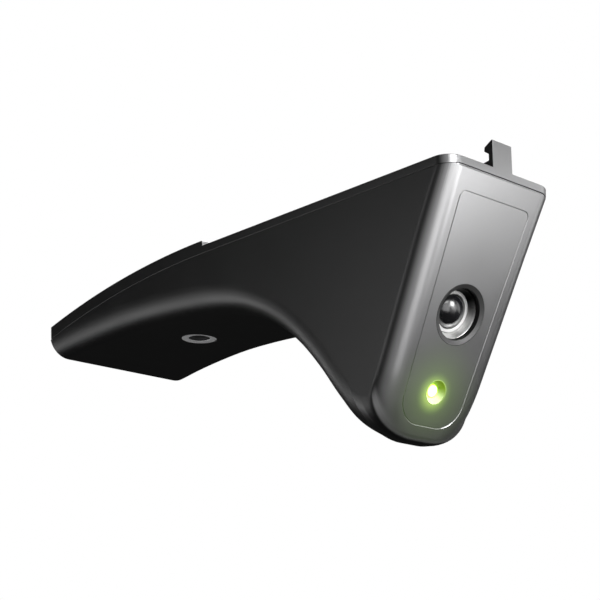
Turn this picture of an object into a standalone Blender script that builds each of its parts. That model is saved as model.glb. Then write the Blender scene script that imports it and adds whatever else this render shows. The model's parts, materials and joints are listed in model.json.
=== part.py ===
"""A launch monitor that hangs under a bracket: one hollow arm with a deep camera head.

Origin: the middle of the flat mounting face. +X points to the head, +Z up towards the bracket.
Every length is in metres and every angle in radians.
"""

from math import atan2, cos, hypot, pi, sin, sqrt, tan

import bmesh
import bpy
from mathutils import Matrix, Vector

# Outer form
FRONT_X = 0.06415  # upper front edge of the head
TAIL_X = -0.1707
STEP_X = -0.06415  # head-side face of the raised pad
FRONT_HALF_WIDTH = 0.0265
PLAN_FLARE = 0.05578  # growth of the half width per metre towards the tail
SIDE_DRAFT = 0.07332  # loss of half width per metre downwards
RIM_HEIGHT = 0.00342
PAD_HEIGHT = 0.00207
TAIL_TOP_RADIUS = 0.4426
FACE_TILT = 0.4678
FACE_LENGTH = 0.0955  # down the slanted face to its virtual lower corner
ENVELOPE_TOP = 0.012  # the envelope runs past every top face and is cut back
WALL = 0.0024
COVER_THICKNESS = 0.0022
SEAM_GAP = 0.0003
GROOVE_OUTER = 0.00055  # insets of the gasket groove from the outer form
GROOVE_INNER = 0.0017
GROOVE_DEPTH = 0.0010
GASKET_GAP = 0.0002

# Edge radii
EDGE_TAIL = 0.001
EDGE_UNDERSIDE = 0.0102
EDGE_TAIL_LOSS = 0.0008
EDGE_HEAD_BACK = 0.0111
EDGE_HEAD_BOTTOM = 0.0190
EDGE_FACE = 0.0067
CHIN_RADIUS = 0.0039
CHIN_PULL = 0.0142  # how far the flat sides end above the head's lowest edge
FACE_PULL = 0.0118

# Side view of the underside, from the tail to the chin
UNDERSIDE = (
    (TAIL_X, -0.0238),
    (-0.1531, -0.0226),
    (-0.1213, -0.0217),
    (-0.0948, -0.0228),
    (-0.0683, -0.0254),
    (-0.0520, -0.0286),
    (-0.0418, -0.0324),
    (-0.0300, -0.0390),
    (-0.0187, -0.0485),
    (-0.0084, -0.0604),
    (0.0006, -0.0732),
    (0.0069, -0.0821),
    (0.0154, -0.0881),
)

# Slanted face, measured down from its upper edge
PANEL_TOP = 0.0079
PANEL_BOTTOM = 0.0892
PANEL_MARGIN = 0.00884
PANEL_TOP_RADIUS = 0.0024
PANEL_BOTTOM_RADIUS = 0.0098
PANEL_THICKNESS = 0.0013
LENS_DOWN = 0.0487
LIGHT_DOWN = 0.0769
RADAR_DOWN = 0.0220
LENS_HOLE_RADIUS = 0.0110
LIGHT_HOLE_RADIUS = 0.0045

# Snap hook
HOOK_WIDTH = 0.00977
HOOK_HEIGHT = 0.01019
HOOK_STEM = 0.0020
HOOK_REACH = 0.0040
HOOK_TIP_TOP = 0.0084
HOOK_TIP_BOTTOM = 0.0066
HOOK_CATCH = 0.0054
HOOK_FOOT_HEIGHT = 0.0028
HOOK_FOOT_LENGTH = 0.0075

# Fasteners: an M2 screw with a low head
SCREW_HEAD_RADIUS = 0.0019
SCREW_HEAD_HEIGHT = 0.0011
SCREW_SHANK_RADIUS = 0.00095
SCREW_HOLE_RADIUS = 0.00125
COUNTERBORE_RADIUS = 0.0022
COUNTERBORE_DEPTH = 0.0013
BOSS_RADIUS = 0.0030
POST_RADIUS = 0.0026


def both_sides(*spots):
    return [(x, side * y) for x, y in spots for side in (-1, 1)]


COVER_SPOTS = both_sides((0.052, 0.0210), (-0.030, 0.0258), (-0.135, 0.0310))
BOARD_SPOTS = both_sides((0.038, 0.015), (-0.036, 0.015))
TRAY_SPOTS = both_sides((-0.057, 0.016))
CAMERA_SPOTS = both_sides((0.012, 0.012), (-0.012, 0.012))
RADAR_SPOTS = both_sides((0.0115, 0.0085), (-0.0115, 0.0085))
STATUS_SPOTS = [(0.0075, 0), (-0.0075, 0)]

# Tail end: socket and button lie side by side
PORT_Z = -0.0189
PORT_HEIGHT = 0.0036
SOCKET_WIDTH = 0.0090
BUTTON_Y = 0.015
BUTTON_WIDTH = 0.0080
BUTTON_HEIGHT = 0.0030

# Ring set in the underside
MARK_X = -0.111
MARK_RADIUS = 0.0075
MARK_HOLE_RADIUS = 0.00465
MARK_Z = -0.0217
MARK_THICKNESS = 0.0004

# Gaps between pieces that fit into each other
PANEL_GAP = 0.00015
PORT_GAP = 0.0006

# Depths below the slanted face
CAMERA_POST_DEPTH = 0.0192
CAMERA_BOARD = (-0.0207, -0.0195)
RADAR_POST_DEPTH = 0.0038
RADAR_BOARD = (-0.0051, -0.0041)
STATUS_POST_DEPTH = 0.0061
STATUS_BOARD = (-0.0074, -0.0064)
WASHER_GAP = 0.0003  # between a board and a screw's head

# Heights below the mounting face
MAIN_BOARD = (-0.0093, -0.0079)
MAIN_BOARD_X = 0.001
BATTERY_X = -0.092
BATTERY_Z = -0.0132
TRAY_FLOOR = -0.0178
TAIL_BOARD_Z = -0.0192

# Button: travel along X against a coil spring
BUTTON_SEAT_X = TAIL_X + 0.0027
SPRING_START_X = TAIL_X + 0.0040
SPRING_LENGTH = 0.0031
SPRING_RADIUS = 0.00125
SPRING_TURNS = 3.5
SPRING_WIRE_RADIUS = 0.00014
LEAD_RADIUS = 0.0009
RIBBON_THICKNESS = 0.0003
PLUNGER_X = -0.1638

ROUND_STEPS = 32
POST_STEPS = 12
CORNER_STEPS = 5
FILLET_STEPS = 4

parts = None
cutters = None


def clear_scene():
    for item in list(bpy.data.objects):
        bpy.data.objects.remove(item, do_unlink=True)


def collection(name, hidden=False):
    made = bpy.data.collections.new(name)
    bpy.context.scene.collection.children.link(made)
    made.hide_render = hidden
    return made


def material(name, colour, roughness, metallic=0.0, transmission=0.0, glow=0.0):
    made = bpy.data.materials.new(name)
    made.use_nodes = True
    shader = made.node_tree.nodes["Principled BSDF"]
    shader.inputs["Base Color"].default_value = (*colour, 1.0)
    shader.inputs["Roughness"].default_value = roughness
    shader.inputs["Metallic"].default_value = metallic
    shader.inputs["Transmission Weight"].default_value = transmission
    shader.inputs["Emission Color"].default_value = (*colour, 1.0)
    shader.inputs["Emission Strength"].default_value = glow
    return made


def place(name, bm, look, frame=None):
    """A visible sub-part from a bmesh, with its origin at the frame."""
    bmesh.ops.recalc_face_normals(bm, faces=bm.faces)
    mesh = bpy.data.meshes.new(name)
    bm.to_mesh(mesh)
    bm.free()
    mesh.materials.append(look)
    made = bpy.data.objects.new(name, mesh)
    made.matrix_world = frame or Matrix.Identity(4)
    parts.objects.link(made)
    return made


def tool(name, bm, frame=None):
    """A hidden helper for a Boolean."""
    bmesh.ops.recalc_face_normals(bm, faces=bm.faces)
    mesh = bpy.data.meshes.new(name)
    bm.to_mesh(mesh)
    bm.free()
    made = bpy.data.objects.new(name, mesh)
    made.matrix_world = frame or Matrix.Identity(4)
    made.hide_render = True
    made.display_type = "WIRE"
    cutters.objects.link(made)
    return made


def boolean(target, other, operation, solver="EXACT"):
    step = target.modifiers.new(other.name, "BOOLEAN")
    step.operation = operation
    step.solver = solver
    step.object = other


def at(x, y, z):
    return Matrix.Translation((x, y, z))


# Shapes ---------------------------------------------------------------------


def block(size, centre=(0, 0, 0)):
    bm = bmesh.new()
    bmesh.ops.create_cube(bm, size=1, matrix=at(*centre) @ Matrix.Diagonal((*size, 1)))
    return bm


def rods(spots, radius, low, high, steps=POST_STEPS):
    """Upright cylinders from low to high at each (x, y) spot."""
    bm = bmesh.new()
    for x, y in spots:
        bmesh.ops.create_cone(
            bm,
            cap_ends=True,
            segments=steps,
            radius1=radius,
            radius2=radius,
            depth=high - low,
            matrix=at(x, y, (low + high) / 2),
        )
    return bm


def extruded(outline, low, high):
    """A closed outline in the local XY plane, given thickness along Z."""
    bm = bmesh.new()
    face = bm.faces.new([bm.verts.new((x, y, low)) for x, y in outline])
    grown = bmesh.ops.extrude_face_region(bm, geom=[face])
    moved = [v for v in grown["geom"] if isinstance(v, bmesh.types.BMVert)]
    bmesh.ops.translate(bm, verts=moved, vec=(0, 0, high - low))
    return bm


def side_prism(outline, near, far):
    """A closed outline in the XZ plane, extruded along Y."""
    bm = bmesh.new()
    face = bm.faces.new([bm.verts.new((x, near, z)) for x, z in outline])
    grown = bmesh.ops.extrude_face_region(bm, geom=[face])
    moved = [v for v in grown["geom"] if isinstance(v, bmesh.types.BMVert)]
    bmesh.ops.translate(bm, verts=moved, vec=(0, far - near, 0))
    return bm


def rounded(corners, radii, steps=CORNER_STEPS):
    """A convex outline with each corner turned into an arc."""
    outline = []
    count = len(corners)
    for i, radius in enumerate(radii):
        corner = Vector(corners[i])
        back = (Vector(corners[i - 1]) - corner).normalized()
        ahead = (Vector(corners[(i + 1) % count]) - corner).normalized()
        half = back.angle(ahead) / 2
        centre = corner + (back + ahead).normalized() * radius / sin(half)
        first = corner + back * radius / tan(half) - centre
        last = corner + ahead * radius / tan(half) - centre
        turn = first.angle_signed(last)
        for k in range(steps + 1):
            arm = first.copy()
            arm.rotate(Matrix.Rotation(-turn * k / steps, 2))
            outline.append(tuple(centre + arm))
    return outline


def pill(width, height, steps=8):
    """A slot outline, longer in X."""
    half = (width - height) / 2
    radius = height / 2
    outline = []
    for side in (1, -1):
        for k in range(steps + 1):
            angle = -pi / 2 + pi * k / steps
            outline.append((side * (half + radius * cos(angle)), side * radius * sin(angle)))
    return outline


def turned(name, profile, look, frame, closed=False, steps=ROUND_STEPS):
    """A Screw modifier spins (radius, height) points about local Z."""
    mesh = bpy.data.meshes.new(name)
    edges = [(i, i + 1) for i in range(len(profile) - 1)]
    if closed:
        edges.append((len(profile) - 1, 0))
    mesh.from_pydata([(r, 0, z) for r, z in profile], edges, [])
    mesh.materials.append(look)
    made = bpy.data.objects.new(name, mesh)
    made.matrix_world = frame
    parts.objects.link(made)
    spin = made.modifiers.new("spin", "SCREW")
    spin.axis = "Z"
    spin.steps = spin.render_steps = steps
    spin.use_merge_vertices = True
    spin.merge_threshold = 0.00001
    spin.use_smooth_shade = True
    return made


def screw(name, frame, length, look):
    """Head above the local XY plane, shank below it."""
    profile = (
        (0, SCREW_HEAD_HEIGHT),
        (SCREW_HEAD_RADIUS, SCREW_HEAD_HEIGHT),
        (SCREW_HEAD_RADIUS, 0),
        (SCREW_SHANK_RADIUS, 0),
        (SCREW_SHANK_RADIUS, -length),
        (0, -length),
    )
    return turned(name, profile, look, frame, steps=10)


def strip(points, thickness):
    """A thin band in the XZ plane that follows points, as one closed outline."""
    upper = []
    lower = []
    for i, point in enumerate(points):
        before = points[max(i - 1, 0)]
        after = points[min(i + 1, len(points) - 1)]
        run = hypot(after[0] - before[0], after[1] - before[1])
        nx = -(after[1] - before[1]) / run * thickness / 2
        nz = (after[0] - before[0]) / run * thickness / 2
        upper.append((point[0] + nx, point[1] + nz))
        lower.append((point[0] - nx, point[1] - nz))
    return upper + lower[::-1]


def smooth_path(points, each):
    """Points on a Catmull-Rom curve through the given ones."""
    path = []
    count = len(points)
    for i in range(count - 1):
        p1 = Vector(points[i])
        p2 = Vector(points[i + 1])
        p0 = Vector(points[i - 1]) if i else 2 * p1 - p2
        p3 = Vector(points[i + 2]) if i + 2 < count else 2 * p2 - p1
        for k in range(each):
            u = k / each
            path.append(
                0.5
                * (
                    2 * p1
                    + (p2 - p0) * u
                    + (2 * p0 - 5 * p1 + 4 * p2 - p3) * u * u
                    + (3 * p1 - p0 - 3 * p2 + p3) * u**3
                )
            )
    path.append(Vector(points[-1]))
    return path


# Outer form -------------------------------------------------------------------


def half_width(x, z):
    return FRONT_HALF_WIDTH - (x - FRONT_X) * PLAN_FLARE + z * SIDE_DRAFT


def tail_drop(x):
    """How far the top has curved down behind the step."""
    back = max(STEP_X - x, 0.0)
    return TAIL_TOP_RADIUS - sqrt(TAIL_TOP_RADIUS**2 - back**2)


def face_point(down, depth=0.0):
    """(x, z) at a distance down the slanted face and a depth under it."""
    return Vector(
        (
            FRONT_X - down * sin(FACE_TILT) - depth * cos(FACE_TILT),
            -RIM_HEIGHT - down * cos(FACE_TILT) + depth * sin(FACE_TILT),
        )
    )


def face_frame(down, across=0.0, depth=0.0):
    """Local X across the face, Y up it and Z out of it."""
    x, z = face_point(down, depth)
    turn = Matrix(
        (
            (0, sin(FACE_TILT), cos(FACE_TILT)),
            (1, 0, 0),
            (0, cos(FACE_TILT), -sin(FACE_TILT)),
        )
    )
    return at(x, across, z) @ turn.to_4x4()


def ease(value, start, end):
    u = min(max((value - start) / (end - start), 0.0), 1.0)
    return u * u * (3 - 2 * u)


def stations():
    """Side-view outline as (point, pull, radius).

    At each point, pull is how far the outline has moved inwards where it meets the flat side,
    and radius is how far in from that side the rounding starts.
    """
    up_face = Vector((sin(FACE_TILT), cos(FACE_TILT)))
    into_face = Vector((-cos(FACE_TILT), sin(FACE_TILT)))
    found = [(Vector((TAIL_X, ENVELOPE_TOP)), Vector((0, 0)), EDGE_TAIL)]

    spine = smooth_path(UNDERSIDE, 2)
    for i, point in enumerate(spine):
        along = spine[min(i + 1, len(spine) - 1)] - spine[max(i - 1, 0)]
        inward = Vector((-along.y, along.x)).normalized()
        near_chin = ease(point.x, -0.003, spine[-1].x)
        upright = 1 - ease(point.x, TAIL_X, TAIL_X + 0.03) + near_chin * 0.9
        inward = inward.lerp(Vector((0, 1)), upright).normalized()
        depth = EDGE_UNDERSIDE - EDGE_TAIL_LOSS * (1 - ease(point.x, TAIL_X, TAIL_X + 0.03))
        depth += (EDGE_HEAD_BACK - depth) * ease(point.x, -0.05, 0.0)
        radius = depth + (EDGE_HEAD_BOTTOM - depth) * near_chin
        depth += (CHIN_PULL - depth) * near_chin
        found.append((point, inward * depth, radius))

    # The chin turns from the underside into the face
    corner = face_point(FACE_LENGTH)
    back = (spine[-1] - corner).normalized()
    half = back.angle(up_face) / 2
    reach = CHIN_RADIUS / tan(half)
    centre = corner + (back + up_face).normalized() * CHIN_RADIUS / sin(half)
    first = corner + back * reach - centre
    turn = first.angle_signed(up_face * reach + corner - centre)
    chin_pull = up_face * FACE_PULL + into_face * EDGE_FACE
    found_pull = found[-1][1]
    for k in range(5):
        u = k / 4
        arm = first.copy()
        arm.rotate(Matrix.Rotation(-turn * u, 2))
        pull = found_pull.lerp(chin_pull, u)
        found.append((centre + arm, pull, EDGE_HEAD_BOTTOM))

    # Up the face, the corner rounding shrinks to the edge rounding
    start = FACE_LENGTH - reach
    blend = EDGE_HEAD_BOTTOM * 1.15
    for k in range(1, 5):
        u = k / 4
        radius = EDGE_HEAD_BOTTOM + (EDGE_FACE - EDGE_HEAD_BOTTOM) * sqrt(1 - (1 - u) ** 2)
        pull = into_face * EDGE_FACE + up_face * FACE_PULL * (1 - u)
        found.append((face_point(start - u * blend), pull, radius))
    for k in range(1, 3):
        down = (start - blend) * (1 - k / 3)
        found.append((face_point(down), into_face * EDGE_FACE, EDGE_FACE))
    level = Vector((-EDGE_FACE, 0))
    found.append((face_point(0), level, EDGE_FACE))
    found.append((Vector((FRONT_X, ENVELOPE_TOP)), level, EDGE_FACE))
    return found


def envelope(inset=0.0):
    """The closed outer form, or the same form a distance inside it."""
    outline = stations()
    count = len(outline)
    ring = []
    for i, (point, pull, radius) in enumerate(outline):
        before = (point - outline[i - 1][0]).normalized()
        after = (outline[(i + 1) % count][0] - point).normalized()
        n1 = Vector((-before.y, before.x))
        n2 = Vector((-after.y, after.x))
        moved = point + (n1 + n2) * inset / (1 + n1.dot(n2))
        shrink = max(pull.length - inset, 0.0) / pull.length if pull.length else 0.0
        ring.append((moved, pull * shrink, max(radius - inset, 0.0004)))

    bm = bmesh.new()
    slices = []
    for side in (-1, 1):
        rows = []
        for k in range(FILLET_STEPS + 1):
            angle = pi / 2 * k / FILLET_STEPS
            row = []
            for point, pull, radius in ring:
                x, z = point + pull * (1 - cos(angle))
                y = half_width(x, z) - inset - radius * (1 - sin(angle))
                row.append(bm.verts.new((x, side * y, z)))
            rows.append(row)
        slices.append(rows)
    near, far = slices
    loops = near[::-1] + far
    for a, b in zip(loops, loops[1:]):
        for i in range(count):
            j = (i + 1) % count
            bm.faces.new((a[i], a[j], b[j], b[i]))
    bm.faces.new(near[-1])
    bm.faces.new(far[-1][::-1])
    return bm


def top_line(first, last, height, steps=14):
    """(x, z) points along the parting line, raised by height."""
    line = []
    for k in range(steps + 1):
        x = first + (last - first) * k / steps
        line.append((x, height - tail_drop(x)))
    return line


def band(low, high):
    """A side prism between two lines parallel to the parting line."""
    far_front = FRONT_X + 0.02
    far_tail = TAIL_X - 0.02
    upper = [(far_front, high)] + top_line(STEP_X, far_tail, high)
    lower = [(far_front, low)] + top_line(STEP_X, far_tail, low)
    return side_prism(upper + lower[::-1], -0.06, 0.06)


def cover_outline(sink=0.0, low=-RIM_HEIGHT + SEAM_GAP / 2):
    """The lid seen from the side: flat plate, step, then the curved pad."""
    far_front = FRONT_X + 0.02
    far_tail = TAIL_X - 0.02
    step = STEP_X - sink
    upper = [(far_front, -sink), (step, -sink)]
    upper += top_line(step, far_tail, PAD_HEIGHT - sink)
    lower = [(far_front, low)] + top_line(STEP_X, far_tail, low)
    return upper + lower[::-1]


def keep_seam_ring(form, inner, low, high):
    """Cuts an envelope down to a thin ring that follows the parting line.

    The walls of both envelopes nearly coincide, which only the manifold solver takes.
    """
    boolean(form, tool(form.name + "_band", band(low, high)), "INTERSECT", "MANIFOLD")
    boolean(form, tool(form.name + "_core", envelope(inner)), "DIFFERENCE", "MANIFOLD")


# Housing ----------------------------------------------------------------------


def face_posts():
    """Posts that stand on the inside of the slanted face, as one helper each."""
    inside = -WALL / 2
    groups = (
        ("camera_posts", LENS_DOWN, CAMERA_SPOTS, CAMERA_POST_DEPTH, POST_RADIUS, 0.007),
        ("radar_posts", RADAR_DOWN, RADAR_SPOTS, RADAR_POST_DEPTH, 0.0020, 0.0016),
        ("status_posts", LIGHT_DOWN, STATUS_SPOTS, STATUS_POST_DEPTH, 0.0020, 0.0039),
    )
    for name, down, spots, reach, radius, hole in groups:
        frame = face_frame(down)
        yield tool(name, rods(spots, radius, -reach, inside), frame)
        drill = rods(spots, SCREW_HOLE_RADIUS, -reach - 0.001, -reach + hole)
        yield tool(name + "_holes", drill, frame)


def build_housing(look):
    housing = place("lower_housing", envelope(), look)
    boolean(housing, tool("cavity", envelope(WALL)), "DIFFERENCE")

    keep_inside = tool("inside_form", envelope(WALL / 3))
    bosses = tool("cover_bosses_low", rods(COVER_SPOTS, BOSS_RADIUS, -0.0185, 0.002))
    tray_posts = tool("tray_posts", rods(TRAY_SPOTS, POST_RADIUS, -0.0260, -0.0194))
    for group in (bosses, tray_posts):
        boolean(group, keep_inside, "INTERSECT")
        boolean(housing, group, "UNION")

    boolean(housing, tool("above_seam", band(-RIM_HEIGHT - SEAM_GAP / 2, 0.03)), "DIFFERENCE")

    groove = tool("gasket_groove", envelope(GROOVE_OUTER))
    keep_seam_ring(groove, GROOVE_INNER, -RIM_HEIGHT - GROOVE_DEPTH, -RIM_HEIGHT + 0.001)
    boolean(housing, groove, "DIFFERENCE")

    for helper in face_posts():
        operation = "DIFFERENCE" if helper.name.endswith("holes") else "UNION"
        boolean(housing, helper, operation)

    pocket = extruded(panel_outline(PANEL_GAP), -PANEL_THICKNESS - PANEL_GAP, 0.002)
    boolean(housing, tool("panel_pocket", pocket, face_frame(0)), "DIFFERENCE")
    cut_face_holes(housing)

    opening = extruded(pill(SOCKET_WIDTH + PORT_GAP, PORT_HEIGHT), -0.002, 0.005)
    boolean(housing, tool("socket_opening", opening, tail_frame(TAIL_X, 0)), "DIFFERENCE")
    opening = extruded(pill(BUTTON_WIDTH + PORT_GAP, PORT_HEIGHT), -0.002, 0.005)
    boolean(housing, tool("button_opening", opening, tail_frame(TAIL_X, BUTTON_Y)), "DIFFERENCE")

    mark = rods([(MARK_X, 0)], MARK_RADIUS + 0.0002, -0.03, MARK_Z + 0.0007, ROUND_STEPS)
    boolean(housing, tool("mark_pocket", mark), "DIFFERENCE")
    pilots = rods(COVER_SPOTS, SCREW_HOLE_RADIUS, -0.0150, 0.002)
    boolean(housing, tool("cover_pilots", pilots), "DIFFERENCE")
    pilots = rods(TRAY_SPOTS, SCREW_HOLE_RADIUS, -0.0228, -0.018)
    boolean(housing, tool("tray_pilots", pilots), "DIFFERENCE")
    return housing


def cut_face_holes(target):
    """The openings for the lens and the status light."""
    for down, radius in ((LENS_DOWN, LENS_HOLE_RADIUS), (LIGHT_DOWN, LIGHT_HOLE_RADIUS)):
        hole = rods([(0, 0)], radius, -0.004, 0.004, ROUND_STEPS)
        boolean(target, tool(target.name + "_hole", hole, face_frame(down)), "DIFFERENCE")


def tail_frame(x, across):
    """Local X across the tail end, Y up and Z towards the head, at the ports' height."""
    turn = Matrix(((0, 0, 1), (1, 0, 0), (0, 1, 0)))
    return at(x, across, PORT_Z) @ turn.to_4x4()


def panel_outline(grow):
    """Corners of the inset panel in the face's own XY, widest at the top."""
    corners = []
    for down, side in ((PANEL_TOP, -1), (PANEL_TOP, 1), (PANEL_BOTTOM, 1), (PANEL_BOTTOM, -1)):
        x, z = face_point(down)
        across = half_width(x, z) - PANEL_MARGIN + grow
        edge = grow if down == PANEL_TOP else -grow
        corners.append((side * across, -down + edge))
    top = PANEL_TOP_RADIUS + grow
    bottom = PANEL_BOTTOM_RADIUS + grow
    return rounded(corners, (top, top, bottom, bottom))


# Lid --------------------------------------------------------------------------


def hook_outline():
    front = FRONT_X
    stem = front - HOOK_STEM
    tip = front - HOOK_REACH
    heel = front - HOOK_FOOT_LENGTH
    return (
        (front, -0.001),
        (front, HOOK_HEIGHT),
        (front - 0.0006, HOOK_HEIGHT),
        (tip + 0.0002, HOOK_TIP_TOP),
        (tip, HOOK_TIP_BOTTOM + 0.0004),
        (tip + 0.0003, HOOK_TIP_BOTTOM),
        (stem, HOOK_CATCH),
        (stem, HOOK_FOOT_HEIGHT + 0.0002),
        (heel, HOOK_FOOT_HEIGHT - 0.0004),
        (heel, -0.001),
    )


def build_cover(look):
    cover = place("top_cover", envelope(), look)
    boolean(cover, tool("cover_side", side_prism(cover_outline(), -0.06, 0.06)), "INTERSECT")
    hollow = tool("cover_hollow", envelope(WALL))
    hollow_side = side_prism(cover_outline(COVER_THICKNESS, -0.04), -0.06, 0.06)
    boolean(hollow, tool("hollow_side", hollow_side), "INTERSECT")
    boolean(cover, hollow, "DIFFERENCE")

    rings = tool("cover_bosses_high", rods(COVER_SPOTS, BOSS_RADIUS, -0.020, 0.004))
    boolean(rings, tool("rings_inside", envelope(WALL / 3)), "INTERSECT")
    rings_side = side_prism(cover_outline(0.001), -0.06, 0.06)
    boolean(rings, tool("rings_side", rings_side), "INTERSECT")
    boolean(cover, rings, "UNION")
    bosses = rods(BOARD_SPOTS, POST_RADIUS, -0.0076, -0.0010)
    boolean(cover, tool("board_bosses", bosses), "UNION")
    hook = side_prism(hook_outline(), -HOOK_WIDTH / 2, HOOK_WIDTH / 2)
    boolean(cover, tool("hook", hook), "UNION")

    holes = rods(COVER_SPOTS, SCREW_HOLE_RADIUS, -0.025, 0.006)
    boolean(cover, tool("cover_holes", holes), "DIFFERENCE")
    for x, y in COVER_SPOTS:
        seat = rods([(x, y)], COUNTERBORE_RADIUS, cover_top(x) - COUNTERBORE_DEPTH, 0.006)
        boolean(cover, tool("counterbore", seat), "DIFFERENCE")
    pilots = rods(BOARD_SPOTS, SCREW_HOLE_RADIUS, -0.009, -0.0030)
    boolean(cover, tool("board_pilots", pilots), "DIFFERENCE")
    return cover


def cover_top(x):
    return -tail_drop(x) + (PAD_HEIGHT if x < STEP_X else 0.0)


def build_gasket(look):
    gasket = place("housing_gasket", envelope(GROOVE_OUTER + GASKET_GAP), look)
    low = -RIM_HEIGHT - GROOVE_DEPTH + GASKET_GAP
    keep_seam_ring(gasket, GROOVE_INNER - GASKET_GAP, low, -RIM_HEIGHT + 0.00005)
    return gasket


# Head: panel, lens and boards -----------------------------------------------------


def build_panel(look):
    plate = extruded(panel_outline(-PANEL_GAP), -PANEL_THICKNESS, 0)
    cut_face_holes(place("front_panel", plate, look, face_frame(0)))


def build_lens(black, silver, grey, glass, board, chip):
    frame = face_frame(LENS_DOWN)
    bezel = (
        (0.0107, 0.0),
        (0.0107, -0.0062),
        (0.0093, -0.0062),
        (0.0093, -0.0005),
        (0.0105, 0.0),
    )
    turned("lens_bezel", bezel, black, frame, closed=True)
    flare = (
        (0.0091, -0.0024),
        (0.0091, -0.0058),
        (0.0077, -0.0058),
        (0.0077, -0.0050),
        (0.0089, -0.0024),
    )
    turned("lens_reflector_ring", flare, silver, frame, closed=True)
    barrel = (
        (0.0075, -0.0049),
        (0.0075, -0.0078),
        (0.0060, -0.0084),
        (0.0060, -0.0170),
        (0.0040, -0.0170),
        (0.0040, -0.0080),
        (0.0059, -0.0080),
        (0.0059, -0.0049),
    )
    turned("lens_barrel", barrel, grey, frame, closed=True, steps=24)

    dome_radius = 0.0078
    rim = 0.0057
    edge_z = -0.0053
    centre_z = edge_z - sqrt(dome_radius**2 - rim**2)
    dome = []
    for k in range(6):
        angle = atan2(rim, edge_z - centre_z) * k / 5
        dome.append((dome_radius * sin(angle), centre_z + dome_radius * cos(angle)))
    turned("lens_front_glass", dome + [(rim, -0.0076), (0, -0.0076)], glass, frame, steps=24)

    holder = place("lens_holder", block((0.0180, 0.0180, 0.003), (0, 0, -0.0177)), black, frame)
    tube = rods([(0, 0)], 0.0083, -0.0170, -0.0085, 24)
    boolean(holder, tool("holder_tube", tube, frame), "UNION")
    bore = rods([(0, 0)], 0.0063, -0.0200, -0.0080, 24)
    boolean(holder, tool("holder_bore", bore, frame), "DIFFERENCE")
    place("image_sensor", block((0.0075, 0.0075, 0.0010), (0, 0, -0.0186)), chip, frame)
    drilled("camera_board", (0.030, 0.030), CAMERA_BOARD, CAMERA_SPOTS, board, frame)


def drilled(name, size, levels, spots, look, frame):
    """A circuit board with rounded corners and a hole at each spot."""
    width, length = size[0] / 2, size[1] / 2
    corners = ((-width, length), (width, length), (width, -length), (-width, -length))
    board = place(name, extruded(rounded(corners, (0.001,) * 4, 2), *levels), look, frame)
    holes = rods(spots, SCREW_HOLE_RADIUS, levels[0] - 0.001, levels[1] + 0.001)
    boolean(board, tool(name + "_holes", holes, frame), "DIFFERENCE")


def facing_back(frame):
    """The same place with local Z turned over, for screws driven from behind."""
    return frame @ Matrix.Rotation(pi, 4, "X")


def screw_from_behind(name, frame, x, y, board, length, look):
    """A screw through a board, with its head WASHER_GAP behind the board."""
    screw(name, facing_back(frame @ at(x, y, board[0] - WASHER_GAP)), length, look)


def build_camera_screws(steel):
    for number, (x, y) in enumerate(CAMERA_SPOTS, 1):
        name = f"camera_screw_{number}"
        screw_from_behind(name, face_frame(LENS_DOWN), x, y, CAMERA_BOARD, 0.0060, steel)


def build_radar(board, tin, steel):
    frame = face_frame(RADAR_DOWN)
    drilled("radar_board", (0.028, 0.022), RADAR_BOARD, RADAR_SPOTS, board, frame)
    shield = place("radar_shield", block((0.016, 0.014, 0.0022), (0, 0, -0.0065)), tin, frame)
    inside = block((0.0152, 0.0132, 0.0022), (0, 0, -0.0061))
    boolean(shield, tool("shield_inside", inside, frame), "DIFFERENCE")
    for number, (x, y) in enumerate((RADAR_SPOTS[1], RADAR_SPOTS[2]), 1):
        screw_from_behind(f"radar_screw_{number}", frame, x, y, RADAR_BOARD, 0.0022, steel)


def build_status_light(board, lens, lamp, steel):
    frame = face_frame(LIGHT_DOWN)
    drilled("status_board", (0.020, 0.012), STATUS_BOARD, STATUS_SPOTS, board, frame)
    place("status_led", block((0.0035, 0.0028, 0.0016), (0, 0, -0.0053)), lamp, frame)
    window = (
        (0, -0.0021),
        (0.0026, -0.0021),
        (0.0040, -0.0003),
        (0.0042, -0.0003),
        (0.0042, -0.0041),
        (0, -0.0041),
    )
    turned("status_light_window", window, lens, frame)
    for number, (x, y) in enumerate(STATUS_SPOTS, 1):
        screw_from_behind(f"status_screw_{number}", frame, x, y, STATUS_BOARD, 0.0045, steel)


# Arm: main board, battery and tail board ---------------------------------------------


def build_main_board(board, chip, tin, aluminium, steel, film):
    local = [(x - MAIN_BOARD_X, y) for x, y in BOARD_SPOTS]
    frame = at(MAIN_BOARD_X, 0, 0)
    drilled("main_board", (0.086, 0.038), MAIN_BOARD, local, board, frame)
    for number, (x, y) in enumerate(local, 1):
        screw_from_behind(f"main_board_screw_{number}", frame, x, y, MAIN_BOARD, 0.0050, steel)
    place("processor", block((0.014, 0.014, 0.0011), (0.008, 0, -0.00705)), chip)
    place("heat_spreader", block((0.024, 0.024, 0.0015), (0.008, 0, -0.00545)), aluminium)
    place("memory_chip", block((0.008, 0.010, 0.0009), (-0.012, 0, -0.00715)), chip)
    place("wireless_module", block((0.014, 0.012, 0.0022), (-0.026, -0.004, -0.0065)), tin)
    start = face_point(LENS_DOWN - 0.008, 0.0212)
    route = (
        tuple(start),
        (start[0] - 0.004, start[1] + 0.003),
        (0.0225, -0.0150),
        (0.0200, -0.0104),
        (0.0140, -0.0098),
    )
    build_ribbon("camera_ribbon", smooth_path(route, 3), (-0.005, 0.005), film)


def build_ribbon(name, path, sides, film):
    place(name, side_prism(strip(path, RIBBON_THICKNESS), *sides), film)


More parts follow.
